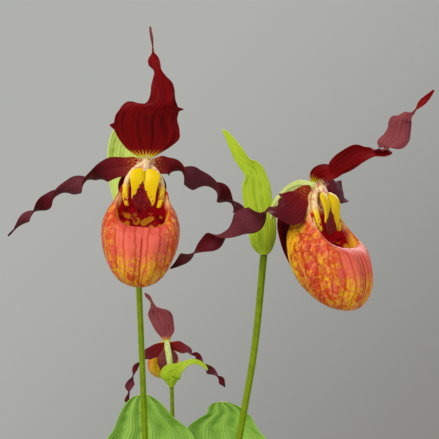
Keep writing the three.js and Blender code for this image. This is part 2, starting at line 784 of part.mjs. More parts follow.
function addNode(name, solid, look) {
  const mesh = solid.simplify(FINEST).getMesh();
  const geometry = new THREE.BufferGeometry();
  geometry.setAttribute('position', new THREE.BufferAttribute(mesh.vertProperties, 3));
  geometry.setIndex(new THREE.BufferAttribute(mesh.triVerts, 1));
  geometry.computeVertexNormals();
  const [color, roughness] = LOOK[look];
  const material = new THREE.MeshStandardMaterial({ color, roughness, metalness: 0 });
  material.name = look;
  const node = new THREE.Mesh(geometry, material);
  node.name = name;
  part.add(node);
}

const SEPAL = { across: 6, thick: SEPAL_THICK, cup: 0.22, waves: 3 };
const RIBBON = { across: 2, thick: SEPAL_THICK, cup: 0.2 };

function addFlower(flower) {
  const { name, scale } = flower;
  const small = scale < SMALL;
  const y = radians(flower.yaw);
  const back = [-Math.sin(y), Math.cos(y), 0];

  const grown = (make) => [make(0), make(GAP)];
  const [stem, stemGrown] = grown((g) => tube(flower.stem, 12, 8, g));
  const [ovary, ovaryGrown] = grown((g) => tube(flower.ovary, 9, 10, g));
  const sepalForm = { ...SEPAL, along: small ? 12 : 24, side: flower.dorsalSide, wave: 1.8 * scale };
  const ribbonForm = { ...RIBBON, along: small ? 22 : 34 };
  const [dorsal, dorsalGrown] = grown((g) => blade(flower.dorsal, sepalForm, g));
  const synsepalForm = { along: 8, across: 6, thick: SEPAL_THICK, cup: 0.15, facing: back };
  const synsepalRows = flowerRows(flower, SYNSEPAL_ROWS);
  const [synsepal, synsepalGrown] = grown((g) => blade(synsepalRows, synsepalForm, g));
  const [left, leftGrown] = grown((g) => blade(flower.left, ribbonForm, g));
  const right = blade(flower.right, { ...ribbonForm, facing: flower.rightFacing });
  const staminodeForm = { along: 8, across: 4, thick: STAMINODE_THICK * Math.sqrt(scale), facing: back, cup: 0.2 };
  const [staminode, staminodeGrown] = grown((g) => blade(flowerRows(flower, STAMINODE_ROWS), staminodeForm, g));
  const bractForm = { along: flower.bract.length + 3, across: 4, thick: SEPAL_THICK, cup: 0.25, baseCup: -0.9 };
  const bract = blade(flower.bract, bractForm);
  const columnGrown = columnTubes(flower, COLUMN_GAP);
  const joined = columnTubes(flower, 0).reduce((whole, limb) => whole.add(limb));
  const organ = carved(joined, [ovaryGrown, staminodeGrown]);

  addNode(`stem_${name}`, stem, 'stem');
  addNode(`ovary_${name}`, carved(ovary, [stemGrown]), 'ovary');
  addNode(`bract_${name}`, carved(bract, [stemGrown, ovaryGrown]), 'bract');
  addNode(`dorsal_sepal_${name}`, carved(dorsal, [ovaryGrown, ...columnGrown]), 'sepal');
  addNode(`synsepal_${name}`, carved(synsepal, [ovaryGrown, dorsalGrown]), 'sepal');
  const [shell, shellGrown] = grown((g) => pouch(flower, small ? 7 : 10, small ? 14 : 20, g));
  const petalCutters = [ovaryGrown, dorsalGrown, synsepalGrown, shellGrown];
  addNode(`petal_left_${name}`, carved(left, petalCutters), 'petal');
  addNode(`petal_right_${name}`, carved(right, [...petalCutters, leftGrown]), 'petal');
  addNode(`column_${name}`, organ, 'column');
  addNode(`staminode_${name}`, staminode, 'staminode');
  addNode(`pouch_${name}`, carved(shell, [ovaryGrown, ...columnGrown]), 'pouch');
  return stemGrown;
}

// A papery sheath round the foot of a stem, cut off at a slant
function sheath(flower, stemGrown, index) {
  const rows = [];
  for (const [z, wall] of [[SOIL_TOP - 12, 1.6], [SOIL_TOP + 8, 1.7], [SOIL_TOP + 28, 1.3]]) {
    const [x, y, , radius] = stemAt(flower.stem, z);
    rows.push([x, y, z, radius + GAP + wall]);
  }
  const body = tube(rows, 3, 10).subtract(stemGrown);
  const [x, y] = rows[2];
  const angle = 2.1 * index;
  const normal = vec([0.8 * Math.cos(angle), 0.8 * Math.sin(angle), -1]).normalize();
  const offset = normal.dot(vec([x, y, SOIL_TOP + 24]));
  return largest(body.trimByPlane([normal.x, normal.y, normal.z], offset));
}

let mix = soil();
FLOWERS.forEach((flower, index) => {
  const stemGrown = addFlower(flower);
  const wrap = sheath(flower, stemGrown, index);
  addNode(`sheath_${flower.name}`, wrap, 'sheath');
  const hole = [];
  for (const z of [SOIL_TOP - 12 - GAP, SOIL_TOP + 20]) {
    const [x, y, , radius] = stemAt(flower.stem, z);
    hole.push([x, y, z, radius + 2 * GAP + 1.9]);
  }
  mix = mix.subtract(tube(hole, 2, 12)).subtract(stemGrown);
});
for (const leaf of [...RAISED_LEAVES, ...LEAVES]) {
  const holder = tube(FLOWERS[leaf.shoot].stem, 12, 8, GAP);
  addNode(leaf.name, carved(leafSolid(leaf), [holder]), 'leaf');
}
addNode('soil', mix, 'soil');
addNode('pot', pot(), 'clay');

export default part;
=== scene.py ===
"""Potted slipper orchid: three shoots in bloom with pleated leaves, in a plain clay pot.

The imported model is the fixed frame. Every piece here repeats the form of the node it stands for
with a finer surface, in the row's frame, and gives it the colours, veins and relief of the plant.
"""

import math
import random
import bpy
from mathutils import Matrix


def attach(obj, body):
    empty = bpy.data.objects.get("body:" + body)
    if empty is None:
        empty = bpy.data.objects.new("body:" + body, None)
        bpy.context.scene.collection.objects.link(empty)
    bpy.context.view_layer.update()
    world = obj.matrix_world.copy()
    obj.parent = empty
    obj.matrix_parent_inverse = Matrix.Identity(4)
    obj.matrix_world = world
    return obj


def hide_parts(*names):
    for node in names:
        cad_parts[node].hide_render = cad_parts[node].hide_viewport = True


bl_info = {
    "name": "Potted slipper orchid",
    "version": (1, 0, 0),
    "blender": (4, 5, 0),
    "location": "3D View > Sidebar > Orchid",
    "description": "Builds the fine pieces of a potted slipper orchid over its solid model",
    "category": "Object",
}

import bmesh
import bpy
from mathutils import Matrix, Vector, noise

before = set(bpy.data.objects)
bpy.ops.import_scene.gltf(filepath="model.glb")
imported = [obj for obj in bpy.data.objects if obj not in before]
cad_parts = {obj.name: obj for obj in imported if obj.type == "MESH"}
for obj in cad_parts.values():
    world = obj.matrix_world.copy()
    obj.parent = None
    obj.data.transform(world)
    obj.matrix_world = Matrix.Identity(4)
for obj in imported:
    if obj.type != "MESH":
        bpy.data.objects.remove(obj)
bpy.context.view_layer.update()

# Millimetres to metres
MM = 0.001

# Camera of the photograph: level, looking along +Y
CAMERA_PLACE = (20.75, -400.0, 424.25)
PICTURE_WIDTH = 219.5
SENSOR = 36.0

# Floor, in metres; it lies just under the pot's foot
FLOOR_RADIUS = 0.9
FLOOR_DROP = 0.0003

# Area lights: name, place and size in metres, power in watts, tint
LAMPS = (
    ("key_softbox", (-0.75, -0.95, 1.25), 0.9, 16.0, "#fffaf2"),
    ("fill_softbox", (1.0, -0.8, 0.55), 0.8, 3.2, "#f2f6ff"),
    ("rim_softbox", (0.5, 0.9, 1.1), 0.7, 8.0, "#ffffff"),
)
LAMPS_AIM = (0.02, 0.0, 0.42)

# Small step along a curve, for its direction
STEP = 0.001

# Thickness of the grown sheets, in millimetres
PETAL_THICK = 0.65
LEAF_THICK = 0.75
POUCH_WALL = 0.9
STAMINODE_THICK = 1.5

# A sheet's rim as a share of its thickness
RIM_SHARE = 0.5
STAMINODE_RIM_SHARE = 0.55

# Faces of each sheet across and along, and of each tube round and along, before smoothing
FACES = {
    "sepal": (24, 130), "synsepal": (20, 32), "petal": (12, 120), "leaf": (40, 42), "bract": (18, 60),
    "staminode": (20, 32), "pouch": (72, 48), "stem": (20, 120), "ovary": (36, 72), "sheath": (48, 40),
    "column": (20, 24), "arm": (16, 24),
}

# Crease down the pouch's front, and its low ribs as number, depth and phase; depths are shares of
# the pouch's width
GROOVE_DEPTH = 0.035
GROOVE_ANGLE = 0.12
POUCH_RIBS = ((10, 0.018, math.pi), (22, 0.006, 0.0))
# A point inside the pouch, in the flower's own millimetres
POUCH_HEART = (0, 8, -36)

# A blade is never narrower than this, and its two margins wave out of step by this angle
LEAST_WIDTH = 0.7
MARGIN_PHASE = 1.9

# Vertices closer than this are one, in millimetres
MERGE = 1e-4
LATHE_MERGE = 1e-3

# Sheath: height over the potting mix and wall, the slope of its cut top, and the angle from one
# sheath's slope to the next one's
SHEATH_WALLS = ((-12, 1.6), (8, 1.7), (24, 1.3))
SHEATH_SLANT = 0.8
SHEATH_TURN = 2.1

# Fine hairs round the head of the column, and where along it they stand. Smoothing halves their
# radius.
HAIR_COUNT = 130
HAIR_LENGTH = 4.2
HAIR_RADIUS = 0.26
HAIR_SPAN = (0.04, 0.34)

# Bark chips: length in millimetres, half their width as a share of it, and half their height in
# millimetres
CHIP_LENGTH = (3, 9)
CHIP_HALF_WIDTH_SHARE = (0.2, 0.38)
CHIP_HALF_HEIGHT = (0.7, 1.6)

# Pot and potting mix
POT_HEIGHT = 155
POT_FOOT_RADIUS = 58
POT_COLLAR_BOTTOM = 126
POT_NECK_RADIUS = 80
POT_RIM_RADIUS = 88
POT_FLOOR = 7
POT_INNER_FOOT_RADIUS = 51.5
POT_INNER_RIM_RADIUS = 82
DRAIN_RADIUS = 4.5
DRAIN_CIRCLE = 28
DRAIN_COUNT = 3
SOIL_TOP = 140
SOIL_RELIEF = 1.8
SOIL_EDGE_DROP = 1.5
GAP = 0.3

# Rings of the pouch from the inrolled lip to the underside:
# front f, front u, back f, back u, half width, egg, squareness, sag of the sides
POUCH_RINGS = [
    [15.5, -34.5, 3.4, -8.6, 11.2, 0.16, 0.72, 3.2], [17.5, -31.8, 1.8, -2.2, 12.3, 0.16, 0.72, 3],
    [21.5, -31.2, -0.6, -3.2, 13.4, 0.26, 0.76, 3.4], [26.0, -35.2, -7.5, -12.5, 17.3, 0.2, 0.95, 2],
    [28.6, -43.0, -13.5, -22.0, 19.2, 0.06, 1, 0.5], [28.3, -51.0, -13.0, -33.5, 18.4, 0, 1, 0],
    [25.0, -57.5, -8.0, -45.0, 14.8, 0, 1, 0], [20.0, -60.8, 1.0, -54.5, 9.0, 0, 1, 0],
    [11.5, -60.6, 11.5, -60.6, 0, 0, 1, 0],
]

# Column, arm and stigma rows of side, forward, up, radius
COLUMN_ROWS = [[0, 2.4, 0, 2.1], [0, 4.4, -0.8, 2.3], [0, 6.2, -2.8, 2.1], [0, 7.4, -5.2, 1.6]]

ARM_ROWS = [
    [1, 4, -1, 1.3], [4.6, 4.6, -4, 1.6], [7.8, 6, -8.5, 1.6], [8.9, 7.4, -13.5, 1.6],
    [8.7, 8.4, -18.5, 1.5], [7.6, 9, -22.5, 0.9],
]

STIGMA_ROWS = [[0, 4.4, -1.4, 1.3], [0, 5, -4.5, 1.3], [0, 5.6, -8.5, 2.4], [0, 5.8, -11, 1.6]]

# Rows of side, forward, up, width in the flower's own frame
STAMINODE_ROWS = [
    [0, 7.6, -4.4, 8], [0, 8.2, -5.4, 13.6], [0, 9, -7.6, 15.2], [0, 9.6, -10.4, 14],
    [0, 9.8, -13.2, 12.6], [0, 9.6, -16.2, 12], [0, 9.1, -19.2, 11.6], [0, 8.5, -22, 9],
    [0, 8.1, -24.2, 2.4],
]

SYNSEPAL_ROWS = [
    [0, -1, -0.8, 4], [0, -8, -5, 15], [0, -12.6, -11, 24.5], [0, -15.6, -18, 24], [0, -16.3, -26, 18],
    [0, -15.8, -33, 11.5], [0, -14.6, -40.5, 0.9],
]

# The three shoots. Stems and ovaries are rows of x, y, z, radius; blades are rows of
# x, y, z, width, roll and tilt in degrees. Yaw, pitch and roll turn the flower's own frame.
FLOWERS = [
    {
        "name": "1",
        "base": [-16.6, 3, 453.7],
        "yaw": 8,
        "pitch": -7,
        "roll": 4,
        "scale": 1,
        "stem": [
            [-12, 4, 112, 1.9], [-14.5, 9, 180, 1.85], [-16.6, 16.5, 245, 1.75],
            [-18.8, 25, 307.6, 1.65], [-22.8, 33, 387.7, 1.6], [-24.4, 38, 418.5, 1.7],
        ],
        "ovary": [
            [-24.4, 38, 418.8, 1.8], [-24.1, 37.5, 428.4, 2.1], [-23, 35, 440.3, 2.4],
            [-20.6, 27, 450.7, 2.4], [-17.9, 15, 454.9, 2.2], [-16.7, 6, 454.2, 2.1],
            [-16.3, 1, 453.7, 2.1],
        ],
        "bract": [
            [-24.7, 40.3, 417.9, 8, 0], [-27.5, 44.5, 426.8, 13.5, 0], [-30.8, 49, 436.3, 16.5, 0],
            [-32.4, 51, 451, 20, 0], [-30.9, 50, 465, 21.6, 0], [-27.6, 47, 475.4, 18, 0],
            [-23.4, 44, 484.2, 9, 0], [-20.4, 42, 490.3, 0.9, 0],
        ],
        "dorsal": [
            [-16.6, 4.6, 454.8, 4, 0, 0], [-16.4, 5.4, 457.6, 13.4, 0, 0], [-16, 5.2, 461, 23.4, 0, -1],
            [-15.6, 3.4, 465.6, 31.9, 0, -4], [-15.6, 0.8, 470.1, 33.1, 0, -8],
            [-15.3, -1.6, 474.3, 32, 0, -11], [-13.9, -3.4, 477.2, 31.6, 0, -11],
            [-12.3, -4.6, 479.1, 30.2, 0, -11], [-10.6, -5.4, 480.2, 22.6, 0, -4],
            [-8.9, -6, 481.8, 15.6, 2, 7], [-7.8, -6.4, 484.2, 13, 4, 12],
            [-7.4, -6.8, 487.2, 12, 8, 11], [-8, -7.3, 490.6, 10.6, 14, 7],
            [-9.2, -7.8, 494.2, 6.8, 24, -1], [-10.2, -8, 497.4, 5.6, 32, -4],
            [-11.4, -7.8, 500.4, 7.3, 20, -3], [-11.6, -7.8, 503.7, 5.4, 20, 0],
            [-11.7, -8.2, 506.9, 1.3, 80, 0], [-12.2, -10, 512.2, 1.4, 150, 0],
            [-12.9, -12, 517.9, 0.9, 200, 0],
        ],
        "left": [
            [-17.8, 2.6, 453, 3.4, 0], [-24.4, 5, 451.6, 9.2, 0], [-31.9, 7, 450.5, 11, 0],
            [-39.6, 11, 448.7, 10.5, 25], [-46.4, 15, 445.5, 9.5, 80], [-55.1, 20, 441.8, 10, 180],
            [-64.5, 25, 438.1, 9, 270], [-71.8, 29, 433.9, 8.5, 360], [-78.9, 32, 428.8, 7, 450],
            [-85, 35, 425.1, 6, 540], [-90.7, 38, 419.6, 3, 630], [-95.8, 41, 415.2, 0.9, 700],
        ],
        "right": [
            [-15.3, 2.6, 453, 3.4, 0], [-9.8, 5, 451.7, 8.8, 0], [-4.5, 8, 451.5, 9.5, 0],
            [0.4, 13, 449.5, 9.5, -80], [5.3, 18, 446.5, 11, -180], [10.9, 24, 444.4, 11.5, -200],
            [17.2, 31, 441.5, 10.5, -270], [22.1, 36, 437.9, 10.5, -360], [27.1, 41, 433.3, 8.5, -450],
            [31.1, 46, 430.1, 6.5, -540], [35.7, 50, 426.2, 3, -630], [39.8, 54, 422.8, 0.9, -700],
        ],
        "rightFacing": [0, 1, 0],
        "dorsalSide": [1, 0, 0],
    },
    {
        "name": "2",
        "base": [66.3, -10, 440.1],
        "yaw": 48,
        "pitch": 3,
        "roll": 0,
        "scale": 0.98,
        "stem": [
            [8, -8, 112, 1.9], [11, -5, 180, 1.85], [19, 0, 245, 1.8], [30.6, 4, 313.4, 1.75],
            [38.4, 6, 358, 1.75], [43.4, 8, 406.7, 1.8],
        ],
        "ovary": [
            [43.4, 8, 407, 1.9], [44, 9, 416.3, 2.1], [47.6, 9, 428.1, 2.4], [54.5, 6, 437.7, 2.4],
            [60.5, 0, 441.6, 2.3], [64.6, -6, 441, 2.1], [67.8, -11.3, 440.1, 2.1],
        ],
        "bract": [
            [43.6, 5.2, 406.4, 3, 0], [43.4, 5.5, 408.8, 8.5, 0], [42.9, 5.9, 413.4, 13, 0],
            [42.6, 6.3, 420.5, 14.4, 0], [41.4, 7.2, 428, 14.8, 0], [40, 8.4, 435.5, 15, 0],
            [39.5, 9.2, 441.5, 14.4, 0], [39.2, 9.6, 446.4, 11.2, 0], [37.2, 9.8, 450, 10.2, 0],
            [34, 10, 452.8, 7, 10], [31, 10.2, 457.4, 6.8, 15], [28, 10.3, 462.4, 5.2, 10],
            [24.7, 10.1, 467.5, 3.2, 0], [22.1, 10, 470.7, 0.9, 0],
        ],
        "dorsal": [
            [67.4, -9.2, 441.3, 4, 0, 0], [68.9, -11, 444.9, 9.5, 0, 0], [71.2, -14, 446.7, 9, 0, 0],
            [74.3, -17.5, 446.7, 7, 0, 0], [77, -20.5, 449.4, 9.4, 0, 0],
            [80.3, -23.5, 451.8, 10.4, 0, 0], [85.3, -27, 454.8, 9.6, 0, 0],
            [90.8, -29.5, 455.9, 6.2, -12, -38], [94.8, -31, 455.8, 8, -40, -66],
            [96.3, -32, 456.7, 8.8, -75, 4], [96.7, -33, 457.4, 4.1, -108, 15],
            [96.8, -34, 458.2, 9.5, -135, 29], [100.3, -35, 461.1, 12, -146, 18],
            [102, -36, 465.1, 10.7, -155, 3], [102.6, -37.5, 469.1, 10.3, -165, 19],
            [104.8, -39, 471, 5.9, -180, 51], [107.3, -41, 472.1, 1.3, -240, 0],
            [110.5, -42, 475.7, 3, -310, 0], [113.3, -43, 478.5, 2.6, -350, 0],
            [116.2, -44, 481.9, 0.9, -380, 0],
        ],
        "left": [
            [65.4, -10.7, 439.6, 3.4, 0], [61.6, -14, 437.2, 7, 0], [58, -18.5, 433.6, 12, -5],
            [54, -22, 429.4, 17, -15], [49, -22.5, 428.6, 13, -45], [45.5, -21, 428.4, 8.5, -70],
            [42, -19, 427.8, 9, -90], [36.4, -15, 424.5, 12.5, -180], [29.7, -11, 421.6, 11.5, -190],
            [23, -6, 417.6, 9, -270], [16.5, -2, 413.6, 9.8, -360], [7.7, 3, 407.4, 6, -450],
            [1.6, 8, 403.6, 5.5, -540], [-4.7, 12, 399, 0.9, -600],
        ],
        "right": [
            [67.3, -9.4, 439.6, 3.4, 0], [73, -3.6, 439.2, 8.5, 0], [80, 3, 438.9, 10.5, 0],
            [84.3, 14, 438.2, 10.5, 0], [85.6, 28, 436.8, 9.5, 60], [84, 44, 432, 9, 150],
            [81.5, 58, 425, 6, 250], [79.5, 69, 417, 0.9, 340],
        ],
        "rightFacing": [1, 0, 0],
    },
    {
        "name": "3",
        "base": [-12.3, 103, 346.6],
        "yaw": 195,
        "pitch": 28,
        "roll": 0,
        "scale": 0.52,
        "stem": [
            [-2, 30, 112, 1.7], [-3.5, 48, 180, 1.6], [-5.6, 67, 250, 1.4], [-7.6, 82, 306.5, 1.2],
            [-8.2, 84, 323.5, 1.2],
        ],
        "ovary": [
            [-8.2, 84, 323.8, 1.25], [-8.5, 83.5, 330.2, 1.5], [-9.6, 85, 339.1, 1.75],
            [-11.2, 91, 345.4, 1.75], [-12.1, 99, 347.2, 1.6], [-12.5, 104.2, 346.6, 1.5],
        ],
        "bract": [
            [-8.2, 81.9, 323.2, 4, 0], [-8.4, 79.8, 327.5, 9.5, 0], [-8.3, 78.6, 331.6, 12.6, 0],
            [-3.5, 77.8, 335.4, 7, 10], [1, 77.2, 338.3, 4, 30], [6, 76.4, 339.6, 3.4, 40],
            [11, 75.2, 337.8, 2.4, 30], [13.8, 74.2, 334.9, 0.9, 0],
        ],
        "dorsal": [
            [-12.2, 102.4, 346.7, 2.6, 0], [-13, 104, 350.2, 6.5, 0], [-13.7, 105, 353.9, 11.8, 0],
            [-15.4, 107, 358.7, 14.3, 0], [-17, 108, 363.6, 15.6, 0], [-18, 108, 366.5, 12, 0],
            [-21.2, 108, 368.7, 4, 0], [-22.4, 107.5, 371.9, 2.6, 20], [-24.6, 107, 375.5, 3.2, 0],
            [-26.4, 106, 377.8, 0.9, 0],
        ],
        "left": [
            [-11.6, 103.2, 346, 2.6, 0], [-4.6, 100, 344.6, 7, 0], [0.6, 96, 343.3, 5, 30],
            [3.5, 93, 341.1, 3, 90], [7, 90, 340.6, 4.5, 180], [10.7, 86, 337.1, 3, 270],
            [15, 83, 333.4, 5.5, 360], [19.2, 80, 330.4, 3, 450], [21.9, 78, 327.8, 4, 540],
            [24, 76, 324.6, 0.9, 600],
        ],
        "right": [
            [-13, 103.2, 346, 2.6, 0], [-20.2, 100, 342.1, 8, 0], [-24.7, 95, 339.2, 6.5, -30],
            [-26.9, 92, 337.2, 2.5, -90], [-30.5, 88, 333.7, 3.5, -180], [-31.7, 85, 329.4, 3, -270],
            [-33.2, 82, 324.5, 5.5, -360], [-33.5, 80, 320.1, 2.5, -450], [-34.5, 78, 317, 2.6, -540],
            [-35.6, 77, 315.4, 0.9, -580],
        ],
        "rightFacing": [0, 1, 0],
        "dorsalSide": [1, 0, 0],
    },
]

# The two raised leaves whose tops stand between the stems
RAISED_LEAVES = [
    {
        "name": "leaf_1_a",
        "shoot": 0,
        "z": 228,
        "azimuth": 95,
        "rows": [
            [-16.6, 28, 252, 32, 0], [-19, 38, 266, 44, 0], [-19.5, 44, 282, 50, 0],
            [-18.5, 48.5, 298, 51, 0], [-18, 50.5, 306, 42, 0], [-20.8, 51.5, 312.5, 31.5, 0],
            [-22, 52, 319, 23, 0], [-22.7, 52.2, 323.2, 14, 0], [-22.8, 52.3, 325.4, 5, 0],
        ],
    },
    {
        "name": "leaf_2_a",
        "shoot": 1,
        "z": 226,
        "azimuth": 86,
        "rows": [
            [21, 24, 250, 24, 0], [23.5, 40, 262, 38, 0], [24.5, 52, 278, 45, 0],
            [24.5, 60, 297, 47.4, 0], [22.8, 61.5, 304.4, 40.4, 0], [24.2, 62, 308.8, 32.5, 0],
            [25.7, 62.4, 312, 25, 0], [24.2, 62.6, 315.6, 20, 0], [22.5, 62.8, 317.8, 12, 0],
            [22.5, 62.8, 319, 4, 0],
        ],
    },
]

# Arching leaves: shoot, height of the base on the stem, direction in plan, length, first and
# last lean from upright, width
LEAVES = [
    {"name": "leaf_1_b", "shoot": 0, "z": 200, "azimuth": 174, "length": 158, "lean": [22, 100], "width": 64},
    {"name": "leaf_1_c", "shoot": 0, "z": 174, "azimuth": 224, "length": 150, "lean": [30, 104], "width": 68},
    {"name": "leaf_2_b", "shoot": 1, "z": 194, "azimuth": 2, "length": 160, "lean": [26, 98], "width": 64},
    {"name": "leaf_2_c", "shoot": 1, "z": 174, "azimuth": 292, "length": 150, "lean": [30, 104], "width": 68},
    {"name": "leaf_3_a", "shoot": 2, "z": 214, "azimuth": 154, "length": 124, "lean": [24, 104], "width": 52},
    {"name": "leaf_3_b", "shoot": 2, "z": 190, "azimuth": 50, "length": 132, "lean": [26, 104], "width": 56},
    {"name": "leaf_3_c", "shoot": 2, "z": 174, "azimuth": 102, "length": 138, "lean": [30, 106], "width": 58},
]


# Curves and frames


def sample(rows, t):
    """Value of every column of a row table on a smooth curve at t in 0..1."""
    last = len(rows) - 1
    at = min(max(t, 0.0), 1.0) * last
    i = min(int(at), last - 1)
    f = at - i
    b, c = rows[i], rows[i + 1]
    a = rows[i - 1] if i > 0 else [2 * v - w for v, w in zip(b, c)]
    d = rows[i + 2] if i + 2 <= last else [2 * w - v for v, w in zip(b, c)]
    curve = []
    for p, q, r, s in zip(a, b, c, d):
        linear = (r - p) * f
        square = (2 * p - 5 * q + 4 * r - s) * f * f
        cube = (3 * q - p - 3 * r + s) * f ** 3
        curve.append(q + 0.5 * (linear + square + cube))
    return curve


def place(row):
    return Vector(row[:3])


def heading(rows, t):
    """Direction of a curve of rows at t."""
    return (place(sample(rows, min(t + STEP, 1))) - place(sample(rows, max(t - STEP, 0)))).normalized()


def flower_matrix(flower):
    """Turns the flower's own side, forward and up, in millimetres, into the row's frame."""
    turn = Matrix.Rotation(math.radians(flower["yaw"]), 3, "Z")
    lean = Matrix.Rotation(math.radians(flower["roll"]), 3, "Y")
    nod = Matrix.Rotation(math.radians(-flower["pitch"]), 3, "X")
    forward_up = Matrix(((1, 0, 0), (0, -1, 0), (0, 0, 1)))
    matrix = (turn @ lean @ nod @ forward_up * flower["scale"]).to_4x4()
    matrix.translation = Vector(flower["base"])
    return matrix


def flower_rows(flower, rows):
    matrix = flower_matrix(flower)
    scale = flower["scale"]
    return [[*(matrix @ Vector(row[:3])), row[3] * scale, 0] for row in rows]


def stem_at(rows, z):
    """Row of a stem at a height."""
    low, high = 0.0, 1.0
    for _ in range(40):
        t = (low + high) / 2
        if sample(rows, t)[2] < z:
            low = t
        else:
            high = t
    return sample(rows, low)


# Pieces


def finish_piece(bm, nodes, skins, own_frame=None):
    """Makes the object of a bmesh in millimetres, in the row's frame, in place of its nodes.

    own_frame turns the flower's own millimetres into the row's: each vertex keeps its own place
    there in the attribute bloom, which the patterns follow.
    """
    if own_frame:
        inverse = own_frame.inverted()
        bloom = bm.verts.layers.float_vector.new("bloom")
        for vertex in bm.verts:
            vertex[bloom] = inverse @ vertex.co
    bmesh.ops.scale(bm, vec=(MM, MM, MM), verts=bm.verts)
    name = f"{nodes[0]}_fine"
    mesh = bpy.data.meshes.new(name)
    bm.to_mesh(mesh)
    bm.free()
    mesh.shade_smooth()
    for skin in skins:
        mesh.materials.append(skin)
    piece = bpy.data.objects.new(name, mesh)
    bpy.context.scene.collection.objects.link(piece)
    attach(piece, "root")
    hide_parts(*nodes)
    return piece


def smoothed(piece):
    smooth = piece.modifiers.new("smooth", "SUBSURF")
    smooth.levels = 1
    smooth.render_levels = 1


def thicken(piece, thick, rim_share=None):
    """Gives a sheet its wall, its under face the second material, and a rounded rim.

    With a rim_share the wall stands on both sides of the sheet and thins to that share at the rim.
    Without one it stands inwards.
    """
    wall = piece.modifiers.new("wall", "SOLIDIFY")
    wall.thickness = thick
    wall.offset = -1.0 if rim_share is None else 0.0
    wall.material_offset = 1
    if rim_share is not None:
        piece.vertex_groups.new(name="body")
        wall.vertex_group = "body"
        wall.thickness_vertex_group = rim_share
    smoothed(piece)


def sheet_grid(across, along):
    """A flat grid of unit size with the map leaf_uv, u across the blade and v along it."""
    bm = bmesh.new()
    bm.loops.layers.uv.new("leaf_uv")
    bmesh.ops.create_grid(bm, x_segments=across, y_segments=along, size=0.5, calc_uvs=True)
    return bm


# Half width of a blade from which its relief has its full height, in millimetres
FULL_RELIEF = 5.0


def blade_mesh(rows, form, faces, relief):
    """A grown sheet along rows of x, y, z, width, roll and tilt, with cup, wave and pleats."""
    bm = sheet_grid(*faces)
    body = bm.verts.layers.deform.verify()
    breadth = bm.verts.layers.float.new("breadth")
    cup = form.get("cup", 0)
    base_cup = form.get("base_cup", 0)
    wave = form.get("wave", 0)
    waves = form.get("waves", 3)
    pleat = form.get("pleat", 0)
    folds = form.get("folds", 0)
    frames = {}
    for vertex in bm.verts:
        s = 2 * vertex.co.x
        t = vertex.co.y + 0.5
        key = round(t, 5)
        if key not in frames:
            row = sample(rows, t)
            path = heading(rows, t)
            if "side" in form:
                a = Vector(form["side"])
            else:
                a = path.cross(Vector(form["facing"])).normalized()
            b = a.cross(path).normalized()
            roll = math.radians(row[4])
            tilt = math.radians(row[5] if len(row) > 5 else 0)
            wide = (a * math.cos(roll) + b * math.sin(roll)) * math.cos(tilt) + path * math.sin(tilt)
            out = path.cross(wide).normalized()
            frames[key] = (place(row), path, wide, out, max(row[3], LEAST_WIDTH) / 2)
        centre, path, wide, out, reach = frames[key]
        fade = max(0.0, min(1.0, 5 * t, 4 * (1 - t)))
        curl = cup + (base_cup - cup) * (1 - t) ** 3
        phase = MARGIN_PHASE if s > 0 else 0.0
        edge = wave * abs(s) ** 3 * math.sin(2 * math.pi * waves * t + phase)
        fold = pleat * math.cos(math.pi * folds * s)
        lift = curl * reach * s * s + fade * (edge + fold)
        rise, back, spread = relief(s, t, reach)
        lift += rise * min(1.0, reach / FULL_RELIEF)
        vertex.co = centre - path * back + wide * (reach * s + spread) + out * lift
        vertex[body][0] = 1 - abs(s) ** 4
        vertex[breadth] = reach
    if form.get("front_out", True):
        bmesh.ops.reverse_faces(bm, faces=bm.faces)
    return bm


def tube_mesh(bm, rows, faces, relief=None, top_slant=None):
    """Adds a closed round body along rows of x, y, z, radius to bm."""
    sides, rings = faces
    if not bm.loops.layers.uv.get("leaf_uv"):
        bm.loops.layers.uv.new("leaf_uv")
    breadth = bm.verts.layers.float.get("breadth") or bm.verts.layers.float.new("breadth")
    known = set(bm.verts)
    bmesh.ops.create_grid(bm, x_segments=sides, y_segments=rings, size=0.5, calc_uvs=True)
    grown = [vertex for vertex in bm.verts if vertex not in known]
    frames = {}
    seed = None
    for i in range(rings + 1):
        t = i / rings
        path = heading(rows, t)
        if seed is None:
            seed = Vector((0, 0, 1)) if abs(path.x) > 0.8 else Vector((1, 0, 0))
        seed = (seed - path * seed.dot(path)).normalized()
        frames[i] = (seed.copy(), path.cross(seed))
    for vertex in grown:
        angle = 2 * math.pi * (vertex.co.x + 0.5)
        i = round((vertex.co.y + 0.5) * rings)
        t = i / rings
        row = sample(rows, t)
        normal, other = frames[i]
        radius = row[3] * (1 + (relief(angle, t) if relief else 0))
        ray = normal * math.cos(angle) + other * math.sin(angle)
        vertex.co = place(row) + ray * radius
        vertex[breadth] = radius
        if top_slant and i == rings:
            vertex.co.z += top_slant(vertex.co)
    bmesh.ops.remove_doubles(bm, verts=grown, dist=MERGE)
    grown = [vertex for vertex in bm.verts if vertex not in known]
    rims = {edge for vertex in grown for edge in vertex.link_edges if edge.is_boundary}
    bmesh.ops.holes_fill(bm, edges=list(rims), sides=0)
    faces = {face for vertex in grown for face in vertex.link_faces}
    bmesh.ops.recalc_face_normals(bm, faces=list(faces))


def round_ribs(count, depth, winding=0):
    """Relief of low ribs along a round body, which wind round it by this angle over its length."""
    return lambda angle, t: depth * math.cos(count * angle + winding * t)


# Materials


def srgb(text):
    """Linear colour of an sRGB hex value."""
    channels = [int(text[i:i + 2], 16) / 255 for i in (1, 3, 5)]
    linear = [c / 12.92 if c <= 0.04045 else ((c + 0.055) / 1.055) ** 2.4 for c in channels]
    return (*linear, 1.0)


